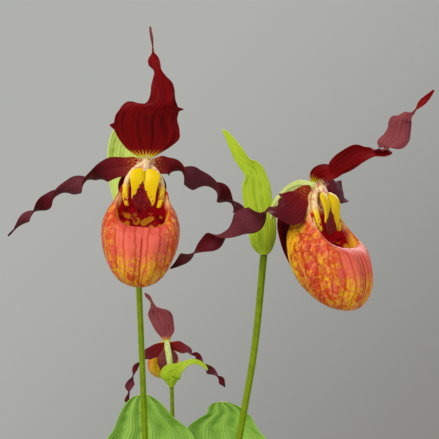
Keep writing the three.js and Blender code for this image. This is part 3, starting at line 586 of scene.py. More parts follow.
def add(tree, kind, settings=(), links=()):
    """Adds a node with its settings; an input is given a value or another node's output."""
    new = tree.nodes.new(kind)
    for key, value in dict(settings).items():
        setattr(new, key, value)
    for key, value in dict(links).items():
        if isinstance(value, bpy.types.NodeSocket):
            tree.links.new(value, new.inputs[key])
        else:
            new.inputs[key].default_value = value
    return new


# Sockets of a Mix node that mixes colours
MIX_SHARE, MIX_UNDER, MIX_OVER, MIX_RESULT = 0, 6, 7, 2

EASED = {"interpolation_type": "SMOOTHSTEP"}


def mask(tree, *terms):
    """Product of masks and strengths.

    A term of three, (value, none, full), is a mask that is 0 at none and 1 at full, smooth between.
    """
    product = None
    for term in terms:
        if isinstance(term, tuple):
            value, none, full = term
            rising = 1.0 if full > none else 0.0
            links = {
                "Value": value, "From Min": min(none, full), "From Max": max(none, full),
                "To Min": 1.0 - rising, "To Max": rising,
            }
            term = add(tree, "ShaderNodeMapRange", EASED, links).outputs["Result"]
        if product is not None:
            term = add(tree, "ShaderNodeMath", {"operation": "MULTIPLY"}, {0: product, 1: term}).outputs[0]
        product = term
    return product


def painted(tree, ground, layers):
    """Lays colours over a ground, each where its mask says."""
    for where, colour in layers:
        links = {MIX_SHARE: where, MIX_UNDER: ground, MIX_OVER: colour}
        ground = add(tree, "ShaderNodeMix", {"data_type": "RGBA"}, links).outputs[MIX_RESULT]
    return ground


def skin(name, roughness, specular=0.16):
    """A new material with its shader, named for what it is."""
    material = bpy.data.materials.new(name)
    material.use_nodes = True
    tree = material.node_tree
    shader = tree.nodes["Principled BSDF"]
    shader.inputs["Roughness"].default_value = roughness
    shader.inputs["Specular IOR Level"].default_value = specular
    return material, tree, shader


def raised(tree, shader, height, depth_mm, strength):
    """Relief from a height of 0 to 1 that stands for depth_mm."""
    links = {"Height": height, "Distance": depth_mm * MM, "Strength": strength}
    bump = add(tree, "ShaderNodeBump", {}, links)
    tree.links.new(bump.outputs["Normal"], shader.inputs["Normal"])


# A wave texture of scale 1 turns by this angle over one unit
WAVE_RADIANS = 20


def veins(tree, coordinates, count, drift, thin, wander):
    """Mask of count lines along the second coordinate, over a first coordinate of 0 to 1.

    drift is how far a line strays, wander how often it turns, and thin the share of its spacing
    that it covers.
    """
    settings = {"wave_type": "BANDS", "bands_direction": "X"}
    links = {
        "Vector": coordinates, "Scale": count * 2 * math.pi / WAVE_RADIANS,
        "Distortion": drift, "Detail": 2.0, "Detail Scale": wander,
    }
    wave = add(tree, "ShaderNodeTexWave", settings, links).outputs["Fac"]
    return mask(tree, (wave, 1 - thin, 1.0))


def patches(tree, coordinates, size, low, high, detail=3.0):
    """Mask of soft patches about size wide, in the units of the coordinates."""
    links = {"Vector": coordinates, "Scale": 1 / size, "Detail": detail, "Roughness": 0.6}
    cloud = add(tree, "ShaderNodeTexNoise", {}, links).outputs["Fac"]
    return mask(tree, (cloud, low, high))


def sheet_coordinates(tree):
    """The blade's own map: the vector, u across and v along."""
    vector = add(tree, "ShaderNodeUVMap", {"uv_map": "leaf_uv"}).outputs["UV"]
    parts = add(tree, "ShaderNodeSeparateXYZ", {}, {0: vector})
    return vector, parts.outputs["X"], parts.outputs["Y"]


# Half widths of a blade, in millimetres, at which its veins begin to show and show in full
VEINS_SHOWN = (2.0, 4.5)


def broad_parts(tree):
    """Mask that fades where a blade is so narrow that its veins run together."""
    breadth = add(tree, "ShaderNodeAttribute", {"attribute_name": "breadth"}).outputs["Fac"]
    return mask(tree, (breadth, *VEINS_SHOWN))


def bloom_coordinates(tree):
    """The flower's own place in millimetres: the vector, side, forward and up."""
    vector = add(tree, "ShaderNodeAttribute", {"attribute_name": "bloom"}).outputs["Vector"]
    parts = add(tree, "ShaderNodeSeparateXYZ", {}, {0: vector})
    return vector, parts.outputs["X"], parts.outputs["Y"], parts.outputs["Z"]


def slipper_skin(colours, marked):
    """Waxy living pouch wall: salmon front, orange toe, yellow back, netted with dark red veins.

    marked is the strength of the net and blotches.
    """
    material, tree, shader = skin("waxy_slipper_outside", roughness=0.45, specular=0.12)
    vector, _, forward, up = bloom_coordinates(tree)
    around, turn, along = sheet_coordinates(tree)
    # Strays of up to 6 mm, about 6 mm long, so that no net or blotch is regular
    drift = add(tree, "ShaderNodeTexNoise", {}, {"Vector": vector, "Scale": 1 / 6.25, "Detail": 3.0})
    shaken = add(
        tree, "ShaderNodeVectorMath", {"operation": "MULTIPLY_ADD"},
        {0: drift.outputs["Color"], 1: (6.0, 6.0, 6.0), 2: vector},
    ).outputs[0]
    # Edges of cells about 4 mm wide, drawn out down the pouch, as the net of veins is
    drawn_out = add(tree, "ShaderNodeMapping", {}, {"Vector": shaken, "Scale": (1.0, 0.8, 0.55)}).outputs[0]
    net = add(
        tree, "ShaderNodeTexVoronoi", {"feature": "DISTANCE_TO_EDGE"},
        {"Vector": drawn_out, "Scale": 1 / 3.8},
    ).outputs["Distance"]
    net_lines = mask(tree, (net, 0.16, 0.02))
    long_lines = veins(tree, around, 22, drift=3.6, thin=0.16, wander=0.9)
    fine_lines = veins(tree, around, 45, drift=5.0, thin=0.3, wander=0.8)
    streaks = add(tree, "ShaderNodeMapping", {}, {"Vector": around, "Scale": (20.0, 5.0, 1.0)}).outputs[0]
    rear = mask(tree, (forward, 9.0, -3.0))
    toe = mask(tree, (up, -38.0, -52.0))
    mottled = patches(tree, streaks, 1.0, 0.42, 0.60, 5.0)
    blotched = patches(tree, shaken, 3.4, 0.48, 0.58, 4.0)
    broken = patches(tree, shaken, 5.0, 0.36, 0.56, 4.0)
    shown = mask(tree, (along, 0.17, 0.24))
    rolled = mask(tree, (along, 0.22, 0.17))
    front_rim = mask(tree, rolled, (forward, 10.0, 14.0))
    neck = mask(tree, (along, 0.34, 0.22), (up, -24.0, -17.0))
    middle = add(tree, "ShaderNodeMath", {"operation": "SUBTRACT"}, {0: turn, 1: 0.5}).outputs[0]
    middle = add(tree, "ShaderNodeMath", {"operation": "ABSOLUTE"}, {0: middle}).outputs[0]
    flank = mask(tree, (middle, 0.08, 0.15))
    groove = mask(tree, (middle, 0.006, 0.001), shown, (up, -33.0, -37.0))
    colour = painted(tree, colours["salmon"], [
        # Flush of the front, and streaks and blotches of the flanks and the toe
        (patches(tree, streaks, 0.9, 0.45, 0.75), colours["rose"]),
        (mask(tree, flank, mottled, 0.8), colours["orange"]),
        (mask(tree, flank, patches(tree, shaken, 2.6, 0.52, 0.60, 4.0), 0.8), colours["yellow"]),
        (mask(tree, flank, patches(tree, streaks, 0.5, 0.50, 0.62, 5.0), 0.75 * marked), colours["flame"]),
        (mask(tree, toe, patches(tree, streaks, 1.0, 0.34, 0.52, 5.0)), colours["orange"]),
        (mask(tree, toe, patches(tree, shaken, 2.6, 0.50, 0.57, 4.0)), colours["yellow"]),
        (mask(tree, toe, patches(tree, streaks, 0.55, 0.50, 0.62, 5.0), 0.85), colours["flame"]),
        # Yellow back with red blotches
        (rear, colours["yellow"]),
        (mask(tree, flank, (forward, -6.0, 3.0), blotched, 0.8 * marked), colours["flame"]),
        (mask(tree, rear, patches(tree, shaken, 2.6, 0.54, 0.62, 4.0), 0.6 * marked), colours["vein"]),
        # Veins of the front, the dark line under the lip, and the net
        (mask(tree, fine_lines, shown, patches(tree, streaks, 1.4, 0.35, 0.65), 0.5), colours["flame"]),
        (mask(tree, long_lines, shown, (forward, -8.0, 8.0), 0.55), colours["vein"]),
        (mask(tree, (along, 0.16, 0.19), (along, 0.24, 0.20), 0.7), colours["vein"]),
        (mask(tree, net_lines, shown, (forward, 30.0, 8.0), broken, 0.85 * marked), colours["vein"]),
        # Inrolled lip, pale shoulders and the crease of the front
        (mask(tree, rolled, (up, -20.0, -24.0)), colours["crimson"]),
        (mask(tree, front_rim, patches(tree, shaken, 1.6, 0.32, 0.44)), colours["ochre"]),
        (mask(tree, neck, 0.6), colours["cream"]),
        (mask(tree, neck, patches(tree, shaken, 2.0, 0.52, 0.62), 0.6), colours["ochre"]),
        (mask(tree, groove, 0.8), colours["crimson"]),
    ])
    tree.links.new(colour, shader.inputs["Base Color"])
    raised(tree, shader, net, 0.25, 0.5)
    return material


# Painted glow: the lining gives off its own colour as light, which stands in for light that the thin wall
# lets through to it
LINING_PAINTED_GLOW = 0.25


def slipper_lining(colours):
    """Inside of the pouch: crimson with ochre blotches, and a painted glow of its own colour that stands in
    for light coming through the thin wall.
    """
    material, tree, shader = skin("waxy_slipper_lining", roughness=0.45)
    vector, _, forward, up = bloom_coordinates(tree)
    # Blotches about 3 mm across
    cells = add(tree, "ShaderNodeTexVoronoi", {}, {"Vector": vector, "Scale": 1 / 3.6}).outputs["Distance"]
    blotches = mask(tree, (cells, 0.52, 0.42))
    low = mask(tree, (up, -27.0, -30.0))
    front = mask(tree, (forward, 9.0, 14.0))
    colour = painted(tree, colours["crimson"], [
        (patches(tree, vector, 3.0, 0.50, 0.66), colours["dark_red"]),
        (mask(tree, blotches, low, patches(tree, vector, 4.0, 0.34, 0.42)), colours["ochre"]),
        (mask(tree, blotches, front), colours["ochre"]),
        (mask(tree, (up, -14.0, -8.0)), colours["cream"]),
    ])
    tree.links.new(colour, shader.inputs["Base Color"])
    # Painted glow: the lining's colour is given off as light, though it is no lamp
    tree.links.new(colour, shader.inputs["Emission Color"])
    shader.inputs["Emission Strength"].default_value = LINING_PAINTED_GLOW
    return material


def petal_skin(colours, front):
    """Satin petal with fine lengthwise veins; the upper face is freckled orange by the flower."""
    name = "satin_petal_upper_face" if front else "satin_petal_under_face"
    material, tree, shader = skin(name, 0.5 if front else 0.6, 0.08)
    vector, _, along = sheet_coordinates(tree)
    ground = colours["petal"] if front else colours["petal_back"]
    dark = colours["petal_vein"]
    lines = mask(tree, veins(tree, vector, 9, drift=0.6, thin=0.35, wander=5.0), broad_parts(tree))
    spread = add(tree, "ShaderNodeMapping", {}, {"Vector": vector, "Scale": (3.0, 22.0, 1.0)}).outputs[0]
    layers = [
        (mask(tree, (along, 0.30, 0.04), 0.8), colours["petal_red"]),
        (mask(tree, patches(tree, spread, 1.0, 0.4, 0.7), lines, 0.7), dark),
    ]
    if front:
        fine = add(tree, "ShaderNodeMapping", {}, {"Vector": vector, "Scale": (9.0, 60.0, 1.0)}).outputs[0]
        base = mask(tree, (along, 0.15, 0.05))
        freckles = patches(tree, fine, 0.8, 0.50, 0.60, 2.0)
        layers.append((mask(tree, base, freckles, 0.8), colours["freckle"]))
    layers.append((mask(tree, (along, 0.9, 1.0)), dark))
    tree.links.new(painted(tree, ground, layers), shader.inputs["Base Color"])
    raised(tree, shader, lines, 0.12, 0.6)
    return material


def sepal_skin(colours, front, foot_length):
    """Satin sepal: crimson with darker streaks and veins, and yellow-green rays at its foot."""
    name = "satin_sepal_inner_face" if front else "satin_sepal_outer_face"
    material, tree, shader = skin(name, roughness=0.5, specular=0.07)
    vector, _, along = sheet_coordinates(tree)
    ground = colours["sepal"] if front else colours["sepal_back"]
    deep = colours["sepal_vein"] if front else colours["sepal_back_vein"]
    lines = mask(tree, veins(tree, vector, 13, drift=0.8, thin=0.5, wander=4.0), broad_parts(tree))
    rays = veins(tree, vector, 9, drift=2.6, thin=0.8, wander=6.0)
    streaks = add(tree, "ShaderNodeMapping", {}, {"Vector": vector, "Scale": (9.0, 3.0, 1.0)}).outputs[0]
    near = mask(tree, (along, 0.6 * foot_length, 0.3 * foot_length))
    foot = mask(tree, (along, 1.1 * foot_length, 0.4 * foot_length))
    colour = painted(tree, ground, [
        (mask(tree, patches(tree, streaks, 1.0, 0.46, 0.68, 3.0), broad_parts(tree)), deep),
        (mask(tree, lines, 0.35), deep),
        (mask(tree, foot, rays), colours["yellow"]),
        (near, colours["lime"]),
    ])
    tree.links.new(colour, shader.inputs["Base Color"])
    raised(tree, shader, lines, 0.12, 0.3)
    return material


def staminode_skin(colours):
    """Glossy shield: yellow, with a ragged dark red wedge that widens to its lower end."""
    material, tree, shader = skin("waxy_staminode", roughness=0.34, specular=0.2)
    vector, side, _, up = bloom_coordinates(tree)
    # The wedge stands a little to one side
    shifted = add(tree, "ShaderNodeMath", {"operation": "ADD"}, {0: side, 1: 1.3}).outputs[0]
    distance = add(tree, "ShaderNodeMath", {"operation": "ABSOLUTE"}, {0: shifted}).outputs[0]
    scaled_sum = {"operation": "MULTIPLY_ADD"}
    wedge = add(tree, "ShaderNodeMath", scaled_sum, {0: up, 1: 0.5, 2: distance}).outputs[0]
    # Tears of its edge about 1.25 mm wide and 3 mm deep
    cloud = add(tree, "ShaderNodeTexNoise", {}, {"Vector": vector, "Scale": 1 / 1.25, "Detail": 3.0})
    torn = add(tree, "ShaderNodeMath", scaled_sum, {0: cloud.outputs["Fac"], 1: 3.0, 2: wedge}).outputs[0]
    red = mask(tree, (torn, -2.9, -3.4))
    middle = add(tree, "ShaderNodeMath", {"operation": "ABSOLUTE"}, {0: side}).outputs[0]
    crease = mask(tree, (middle, 0.9, 0.2), (up, -12.0, -8.0))
    specks = mask(tree, (up, -14.0, -18.0), patches(tree, vector, 1.1, 0.56, 0.62))
    colour = painted(tree, colours["bright_yellow"], [
        (crease, colours["olive"]),
        (specks, colours["crimson"]),
        (red, colours["blood"]),
        (mask(tree, (up, -20.5, -22.0)), colours["blood"]),
        (mask(tree, red, patches(tree, vector, 1.2, 0.50, 0.62)), colours["crimson"]),
    ])
    tree.links.new(colour, shader.inputs["Base Color"])
    raised(tree, shader, cloud.outputs["Fac"], 0.2, 0.3)
    return material


def column_skin(colours):
    """Waxy column: cream flushed pink at the top, arms turning yellow with red specks."""
    material, tree, shader = skin("waxy_column", roughness=0.35, specular=0.3)
    vector, _, _, up = bloom_coordinates(tree)
    low = mask(tree, (up, -9.0, -14.0))
    specks = mask(tree, (up, -14.0, -18.0), patches(tree, vector, 1.3, 0.52, 0.58))
    colour = painted(tree, colours["cream"], [
        (patches(tree, vector, 2.0, 0.46, 0.62), colours["pink"]),
        (low, colours["bright_yellow"]),
        (specks, colours["crimson"]),
    ])
    tree.links.new(colour, shader.inputs["Base Color"])
    return material


def green_skin(name, colours, light, dark, vein_count, roughness, relief_mm):
    """Satin green leaf skin with parallel veins that run the length of the blade."""
    material, tree, shader = skin(name, roughness)
    vector, _, along = sheet_coordinates(tree)
    body = broad_parts(tree)
    lines = mask(tree, veins(tree, vector, vein_count, drift=0.25, thin=0.45, wander=3.0), body)
    # Four broad bands: on the leaves they follow the hollows of the pleats' upper face, so there the dark
    # colour is painted shade; the fine lines are veins
    broad = mask(tree, veins(tree, vector, 4, drift=0.3, thin=0.9, wander=3.0), body)
    spread = add(tree, "ShaderNodeMapping", {}, {"Vector": vector, "Scale": (3.0, 9.0, 1.0)}).outputs[0]
    colour = painted(tree, colours[light], [
        (mask(tree, patches(tree, spread, 1.0, 0.35, 0.75), broad), colours[dark]),
        (mask(tree, lines, patches(tree, spread, 2.0, 0.2, 0.9), 0.7), colours[dark]),
        (mask(tree, (along, 0.97, 1.0)), colours["tip"]),
    ])
    tree.links.new(colour, shader.inputs["Base Color"])
    raised(tree, shader, lines, relief_mm, 0.8)
    return material


def stalk_skin(name, colours, light, dark, roughness):
    """Downy green stalk, faintly ribbed."""
    material, tree, shader = skin(name, roughness, 0.08)
    vector, _, _ = sheet_coordinates(tree)
    ribs = veins(tree, vector, 8, drift=0.4, thin=0.9, wander=3.0)
    place_m = add(tree, "ShaderNodeTexCoord").outputs["Object"]
    grain = patches(tree, place_m, 4 * MM, 0.35, 0.7)
    colour = painted(tree, colours[light], [
        (mask(tree, ribs, grain, 0.6), colours[dark]),
        (mask(tree, grain, 0.25), colours[dark]),
    ])
    tree.links.new(colour, shader.inputs["Base Color"])
    raised(tree, shader, ribs, 0.15, 0.7)
    return material


def clay_skin(colours):
    """Fired clay, thrown and left bare: fine grit, soft rings and a pale bloom of lime."""
    material, tree, shader = skin("fired_clay", roughness=0.88, specular=0.25)
    place_m = add(tree, "ShaderNodeTexCoord").outputs["Object"]
    height = add(tree, "ShaderNodeSeparateXYZ", {}, {0: place_m}).outputs["Z"]
    lime = patches(tree, place_m, 45 * MM, 0.52, 0.78, 6.0)
    damp = mask(tree, (height, 110 * MM, 30 * MM), patches(tree, place_m, 60 * MM, 0.35, 0.65, 5.0))
    # Grit of 0.7 mm
    grit = add(tree, "ShaderNodeTexNoise", {}, {"Vector": place_m, "Scale": 1.4 / MM, "Detail": 4.0})
    colour = painted(tree, colours["clay"], [
        (patches(tree, place_m, 20 * MM, 0.45, 0.75, 5.0), colours["clay_deep"]),
        (mask(tree, lime, 0.55), colours["lime_bloom"]),
        (mask(tree, damp, 0.5), colours["clay_deep"]),
    ])
    tree.links.new(colour, shader.inputs["Base Color"])
    # Rings of the throwing, about 3 mm apart
    rings = add(
        tree, "ShaderNodeTexWave", {"wave_type": "BANDS", "bands_direction": "Z"},
        {"Vector": place_m, "Scale": 105.0, "Distortion": 1.5, "Detail": 2.0},
    ).outputs["Fac"]
    rough = add(
        tree, "ShaderNodeMath", {"operation": "MULTIPLY_ADD"}, {0: rings, 1: 0.5, 2: grit.outputs["Fac"]},
    )
    raised(tree, shader, rough.outputs[0], 0.25, 0.5)
    return material


def mix_skin(colours, name, light, dark):
    """Damp bark and loam, with pale crumbs."""
    material, tree, shader = skin(name, roughness=0.92, specular=0.25)
    place_m = add(tree, "ShaderNodeTexCoord").outputs["Object"]
    colour = painted(tree, colours[dark], [
        (patches(tree, place_m, 6 * MM, 0.45, 0.7, 5.0), colours[light]),
        (patches(tree, place_m, 1.6 * MM, 0.66, 0.72, 2.0), colours["crumb"]),
    ])
    tree.links.new(colour, shader.inputs["Base Color"])
    # Fibres and crumbs of 1.4 mm
    grain = add(tree, "ShaderNodeTexNoise", {}, {"Vector": place_m, "Scale": 0.7 / MM, "Detail": 5.0})
    raised(tree, shader, grain.outputs["Fac"], 0.8, 0.8)
    return material


# Colours and sizes a user would change


COLOURS = {
    "salmon": ("#ec6a56", "Front of the slipper"),
    "rose": ("#d84a46", "Flush of the slipper's front"),
    "orange": ("#f09a3c", "Toe and sides of the slipper"),
    "yellow": ("#eeba12", "Back of the slipper"),
    "flame": ("#d23c18", "Blotches of the slipper"),
    "vein": ("#b02818", "Veins of the slipper"),
    "crimson": ("#a80a1c", "Lining of the slipper and foot of the staminode"),
    "blood": ("#6e0608", "Wedge of the staminode"),
    "dark_red": ("#5c0410", "Deepest red"),
    "ochre": ("#e0a024", "Blotches of the lining"),
    "cream": ("#f2dca0", "Rim by the column, and column"),
    "pink": ("#e0928a", "Flush of the column"),
    "bright_yellow": ("#f4cc00", "Staminode and arms"),
    "olive": ("#a8a410", "Crease of the staminode"),
    "petal": ("#580f1a", "Upper face of the petals"),
    "petal_back": ("#662a35", "Under face of the petals"),
    "petal_red": ("#8a1414", "Petals near the flower"),
    "petal_vein": ("#34080f", "Veins of the petals"),
    "freckle": ("#e08030", "Freckles at the petals' foot"),
    "sepal": ("#7c0408", "Inner face of the sepals"),
    "sepal_back": ("#8e4448", "Outer face of the sepals"),
    "sepal_back_vein": ("#6e2a34", "Veins of the sepals' outer face"),
    "sepal_vein": ("#4c0208", "Veins of the sepals"),
    "lime": ("#b8b81c", "Foot of the upper sepal"),
    "bract_light": ("#b4ce30", "Bracts"),
    # Left flower's bract: a paler green of painted light, for light that comes through it from behind
    "bract_painted_backlight": ("#d2e878", "Bract of the left flower, lit from behind"),
    "bract_dark": ("#88ac14", "Veins of the bracts"),
    "ovary_light": ("#d2e08c", "Ovaries"),
    "ovary_dark": ("#a4b650", "Ribs of the ovaries"),
    "stem_light": ("#7e9614", "Stems, lit"),
    "stem_dark": ("#587406", "Stems, shaded"),
    "tip": ("#c8c890", "Dry tips of bracts and leaves"),
    # Leaves: a ground green, and a darker green for their veins and for painted shade in the hollows of the
    # pleats
    "leaf_light": ("#98c452", "Leaves, raised folds"),
    "leaf_vein_and_hollow_shade": ("#6c9a34", "Leaves, hollows"),
    "sheath_light": ("#a09a5c", "Papery sheaths"),
    "sheath_dark": ("#6e6236", "Veins of the sheaths"),
    "clay": ("#b8663f", "Pot"),
    "clay_deep": ("#9c4e30", "Pot, deeper fired"),
    "lime_bloom": ("#d8b8a0", "Lime bloom on the pot"),
    "mix_light": ("#5a3c28", "Bark"),
    "mix_dark": ("#2c1c12", "Loam"),
    "crumb": ("#a08c74", "Pale crumbs"),
}


def colour_property(key, text, words):
    return bpy.props.FloatVectorProperty(
        name=key.replace("_", " ").capitalize(), description=words,
        subtype="COLOR", size=4, min=0.0, max=1.0, default=srgb(text),
    )


class OrchidColours(bpy.types.PropertyGroup):
    """Colours of the plant and its pot."""

    __annotations__ = {key: colour_property(key, *value) for key, value in COLOURS.items()}


class OrchidSizes(bpy.types.PropertyGroup):
    """Sizes that don't change the form of the solids."""

    petal_thick: bpy.props.FloatProperty(
        name="Petal thickness", description="Thickness of petals, sepals and bracts",
        default=PETAL_THICK * MM, min=0.3 * MM, max=0.8 * MM, unit="LENGTH", precision=5,
    )
    leaf_thick: bpy.props.FloatProperty(
        name="Leaf thickness", description="Thickness of the leaves",
        default=LEAF_THICK * MM, min=0.4 * MM, max=0.8 * MM, unit="LENGTH", precision=5,
    )
    bark_chips: bpy.props.IntProperty(
        name="Bark chips", description="How many bark chips lie on the potting mix",
        default=420, min=0, max=1200,
    )


def palette():
    chosen = bpy.context.scene.orchid_colours
    return {key: tuple(getattr(chosen, key)) for key in COLOURS}


def sizes():
    return bpy.context.scene.orchid_sizes


# Forms of the blades


def sepal_form(flower):
    form = {"cup": 0.22, "wave": 1.8 * flower["scale"], "waves": 3, "front_out": False}
    if "dorsalSide" in flower:
        form["side"] = flower["dorsalSide"]
    else:
        form["facing"] = (0, 1, 0)
    return form


def facing_back(flower):
    yaw = math.radians(flower["yaw"])
    return (-math.sin(yaw), math.cos(yaw), 0)


# Shares of the lower and the upper sepals' length that are yellow-green at the foot
SYNSEPAL_FOOT = 0.1
SEPAL_FOOT = {"1": 0.085, "2": 0.05, "3": 0.13}
# Small curled hooks of the upper sepal's margin: side, place along it, reach in millimetres
SEPAL_HOOKS = {"1": ((-1, 0.195, 3.0), (1, 0.365, 3.4))}


# Strength of the net and blotches on the slipper of a flower that turns its back
REAR_MARKS = 0.3


def faces_back(flower):
    """True of a flower that turns its back to the camera."""
    return math.cos(math.radians(flower["yaw"])) < 0


def carried(reach, full):
    """Share of fine relief that a blade of this half width carries without folding into itself."""
    return min(1.0, reach / full) ** 2


def ribbon_relief(s, t, reach):
    """A shallow midrib channel, ruffled margins and small points along them."""
    edge = abs(s) ** 3
    phase = 2.1 if s > 0 else 0.0
    channel = -0.35 * math.exp(-((s / 0.16) ** 2))
    ruffle = 0.55 * edge * math.sin(47 * t + phase)
    points = 0.09 * reach * s * edge * math.sin(38 * t + 2 * phase)
    return channel + ruffle, 0.0, points


def sepal_relief(hooks=()):
    """Low lengthwise ribs between the veins, and small curled hooks of the margin."""
    def relief(s, t, reach):
        rise = 0.16 * math.cos(9 * math.pi * s) * carried(reach, 9)
        spread = 0.0
        for side, at, out in hooks:
            if s * side > 0:
                hook = abs(s) ** 12 * math.exp(-(((t - at) / 0.011) ** 2))
                rise += 1.6 * hook
                spread += side * out * hook
        return rise, 0.0, spread
    return relief


# How far the tip of a bract draws back, in millimetres
BRACT_NOD = {"1": 2.5}


def bract_relief(nod):
    """A keel down the middle, faint ribs, and a tip drawn back by nod."""
    def relief(s, t, reach):
        rise = -0.5 * math.exp(-((s / 0.12) ** 2)) + 0.12 * math.cos(7 * math.pi * s)
        return rise * carried(reach, 8), nod * max(0.0, 8 * t - 7), 0.0
    return relief


def shield_relief(s, t, reach):
    """Two puffed lobes with a crease between them, and a notch in the top edge."""
    lobe = 1 - (2 * abs(s) - 1) ** 2
    puff = 0.9 * lobe * math.exp(-((t - 0.28) / 0.2) ** 2)
    crease = -1.1 * math.exp(-((s / 0.14) ** 2)) * max(0.0, 1 - t / 0.62)
    top = 1.5 * lobe * max(0.0, 1 - t / 0.22) * reach / 7
    return puff + crease, top, 0.0


class FlowerPieces(bpy.types.Operator):
    """Builds one kind of piece for each of the three flowers, with the build of its subclass."""

    bl_options = {"REGISTER", "UNDO"}

    def execute(self, context):
        colours = palette()
        for flower in FLOWERS:
            self.build(flower, colours)
        return {"FINISHED"}


class ORCHID_OT_stalks(FlowerPieces):
    """Stems, ovaries and the papery sheaths round the stems' feet"""

    bl_idname = "orchid.stalks"
    bl_label = "Stems, ovaries and sheaths"

    def build(self, flower, colours):
        name = flower["name"]
        stem = bmesh.new()
        stalk = stalk_skin("downy_stem", colours, "stem_light", "stem_dark", 0.5)
        tube_mesh(stem, flower["stem"], FACES["stem"], round_ribs(6, 0.03, 5))
        finish_piece(stem, [f"stem_{name}"], [stalk])

        ovary = bmesh.new()
        ribbed = stalk_skin("ribbed_ovary", colours, "ovary_light", "ovary_dark", 0.45)
        tube_mesh(ovary, flower["ovary"], FACES["ovary"], round_ribs(6, 0.07, 2))
        finish_piece(ovary, [f"ovary_{name}"], [ribbed])

        rows = []
        for rise, wall in SHEATH_WALLS:
            x, y, _, radius = stem_at(flower["stem"], SOIL_TOP + rise)
            rows.append([x, y, SOIL_TOP + rise, radius + GAP + wall])
        turn = SHEATH_TURN * FLOWERS.index(flower)
        slant = Vector((math.cos(turn), math.sin(turn)))
        centre = Vector(rows[-1][:2])
        sheath = bmesh.new()
        papery = green_skin("papery_sheath", colours, "sheath_light", "sheath_dark", 24, 0.7, 0.3)
        tube_mesh(
            sheath, rows, FACES["sheath"], round_ribs(12, 0.03),
            lambda at: SHEATH_SLANT * (at.xy - centre).dot(slant),
        )
        finish_piece(sheath, [f"sheath_{name}"], [papery])


class ORCHID_OT_bracts(FlowerPieces):
    """Leaf-like hoods behind the ovaries"""

    bl_idname = "orchid.bracts"
    bl_label = "Bracts"

    def build(self, flower, colours):
        name = flower["name"]
        form = {"facing": (0, 1, 0), "cup": 0.25, "base_cup": -0.9}
        bm = blade_mesh(flower["bract"], form, FACES["bract"], bract_relief(BRACT_NOD.get(name, 0.0)))
        # The left flower's bract is painted paler, as painted light coming through it from behind
        light = "bract_painted_backlight" if name == "1" else "bract_light"
        green = green_skin("living_bract", colours, light, "bract_dark", 11, 0.5, 0.12)
        bract = finish_piece(bm, [f"bract_{name}"], [green])
        thicken(bract, sizes().petal_thick, RIM_SHARE)


class ORCHID_OT_sepals(FlowerPieces):
    """Upper sepals with their twisted tips, and the joined lower sepals behind the slippers"""

    bl_idname = "orchid.sepals"
    bl_label = "Sepals"

    def build(self, flower, colours):
        name = flower["name"]
        skins = [sepal_skin(colours, True, SEPAL_FOOT[name]), sepal_skin(colours, False, SEPAL_FOOT[name])]
        if "dorsalSide" not in flower or faces_back(flower):
            skins.reverse()
        ribs_and_hooks = sepal_relief(SEPAL_HOOKS.get(name, ()))
        upper = blade_mesh(flower["dorsal"], sepal_form(flower), FACES["sepal"], ribs_and_hooks)
        piece = finish_piece(upper, [f"dorsal_sepal_{name}"], skins)
        thicken(piece, sizes().petal_thick, RIM_SHARE)
        form = {"facing": facing_back(flower), "cup": 0.15}
        lower = blade_mesh(flower_rows(flower, SYNSEPAL_ROWS), form, FACES["synsepal"], sepal_relief())
        skins = [sepal_skin(colours, True, SYNSEPAL_FOOT), sepal_skin(colours, False, SYNSEPAL_FOOT)]
        piece = finish_piece(lower, [f"synsepal_{name}"], skins)
        thicken(piece, sizes().petal_thick, RIM_SHARE)


class ORCHID_OT_petals(FlowerPieces):
    """Twisted ribbon petals"""

    bl_idname = "orchid.petals"
    bl_label = "Petals"

    def build(self, flower, colours):
        name = flower["name"]
        skins = [petal_skin(colours, True), petal_skin(colours, False)]
        if faces_back(flower):
            skins.reverse()
        for hand, facing in (("left", (0, 1, 0)), ("right", flower["rightFacing"])):
            form = {"facing": facing, "cup": 0.2}
            bm = blade_mesh(flower[hand], form, FACES["petal"], ribbon_relief)
            piece = finish_piece(bm, [f"petal_{hand}_{name}"], skins)
            thicken(piece, sizes().petal_thick, RIM_SHARE)


class ORCHID_OT_slippers(FlowerPieces):
    """Hollow pouches with an inrolled lip, low ribs and a crease down the front"""

    bl_idname = "orchid.slippers"
    bl_label = "Slippers"

    def build(self, flower, colours):
        name = flower["name"]
        matrix = flower_matrix(flower)
        bm = sheet_grid(*FACES["pouch"])
        for vertex in bm.verts:
            angle = 2 * math.pi * vertex.co.x
            vertex.co = matrix @ slipper_point(vertex.co.y + 0.5, angle)
        bmesh.ops.remove_doubles(bm, verts=bm.verts, dist=MERGE)
        bmesh.ops.recalc_face_normals(bm, faces=bm.faces)
        heart = matrix @ Vector(POUCH_HEART)
        outward = sum(face.normal.dot(face.calc_center_median() - heart) for face in bm.faces)
        if outward < 0:
            bmesh.ops.reverse_faces(bm, faces=bm.faces)
        marked = REAR_MARKS if faces_back(flower) else 1.0
        skins = [slipper_skin(colours, marked), slipper_lining(colours)]
        piece = finish_piece(bm, [f"pouch_{name}"], skins, matrix)
        thicken(piece, POUCH_WALL * MM)


def slipper_point(t, angle):
    """Point of the pouch's outer face in the flower's own frame; angle 0 is the front."""
    front_f, front_u, back_f, back_u, half, egg, square, sag = sample(POUCH_RINGS, t)
    c = math.cos(angle)
    s = math.sin(angle)
    fade = min(1.0, max(0.0, 6 * (t - 0.2)), max(0.0, 5 * (0.95 - t)))
    turn = math.atan2(s, c)
    groove = GROOVE_DEPTH * math.exp(-((turn / GROOVE_ANGLE) ** 2))
    ribs = sum(depth * math.cos(count * angle + phase) for count, depth, phase in POUCH_RIBS)
    swell = 1 + fade * (ribs - groove)
    x = half * math.copysign(abs(s) ** square, s) * (1 + egg * c) * swell
    f = (front_f + back_f) / 2 + (front_f - back_f) / 2 * c * swell
    u = (front_u + back_u) / 2 + (front_u - back_u) / 2 * c * swell - sag * s * s
    return Vector((x, f, u))


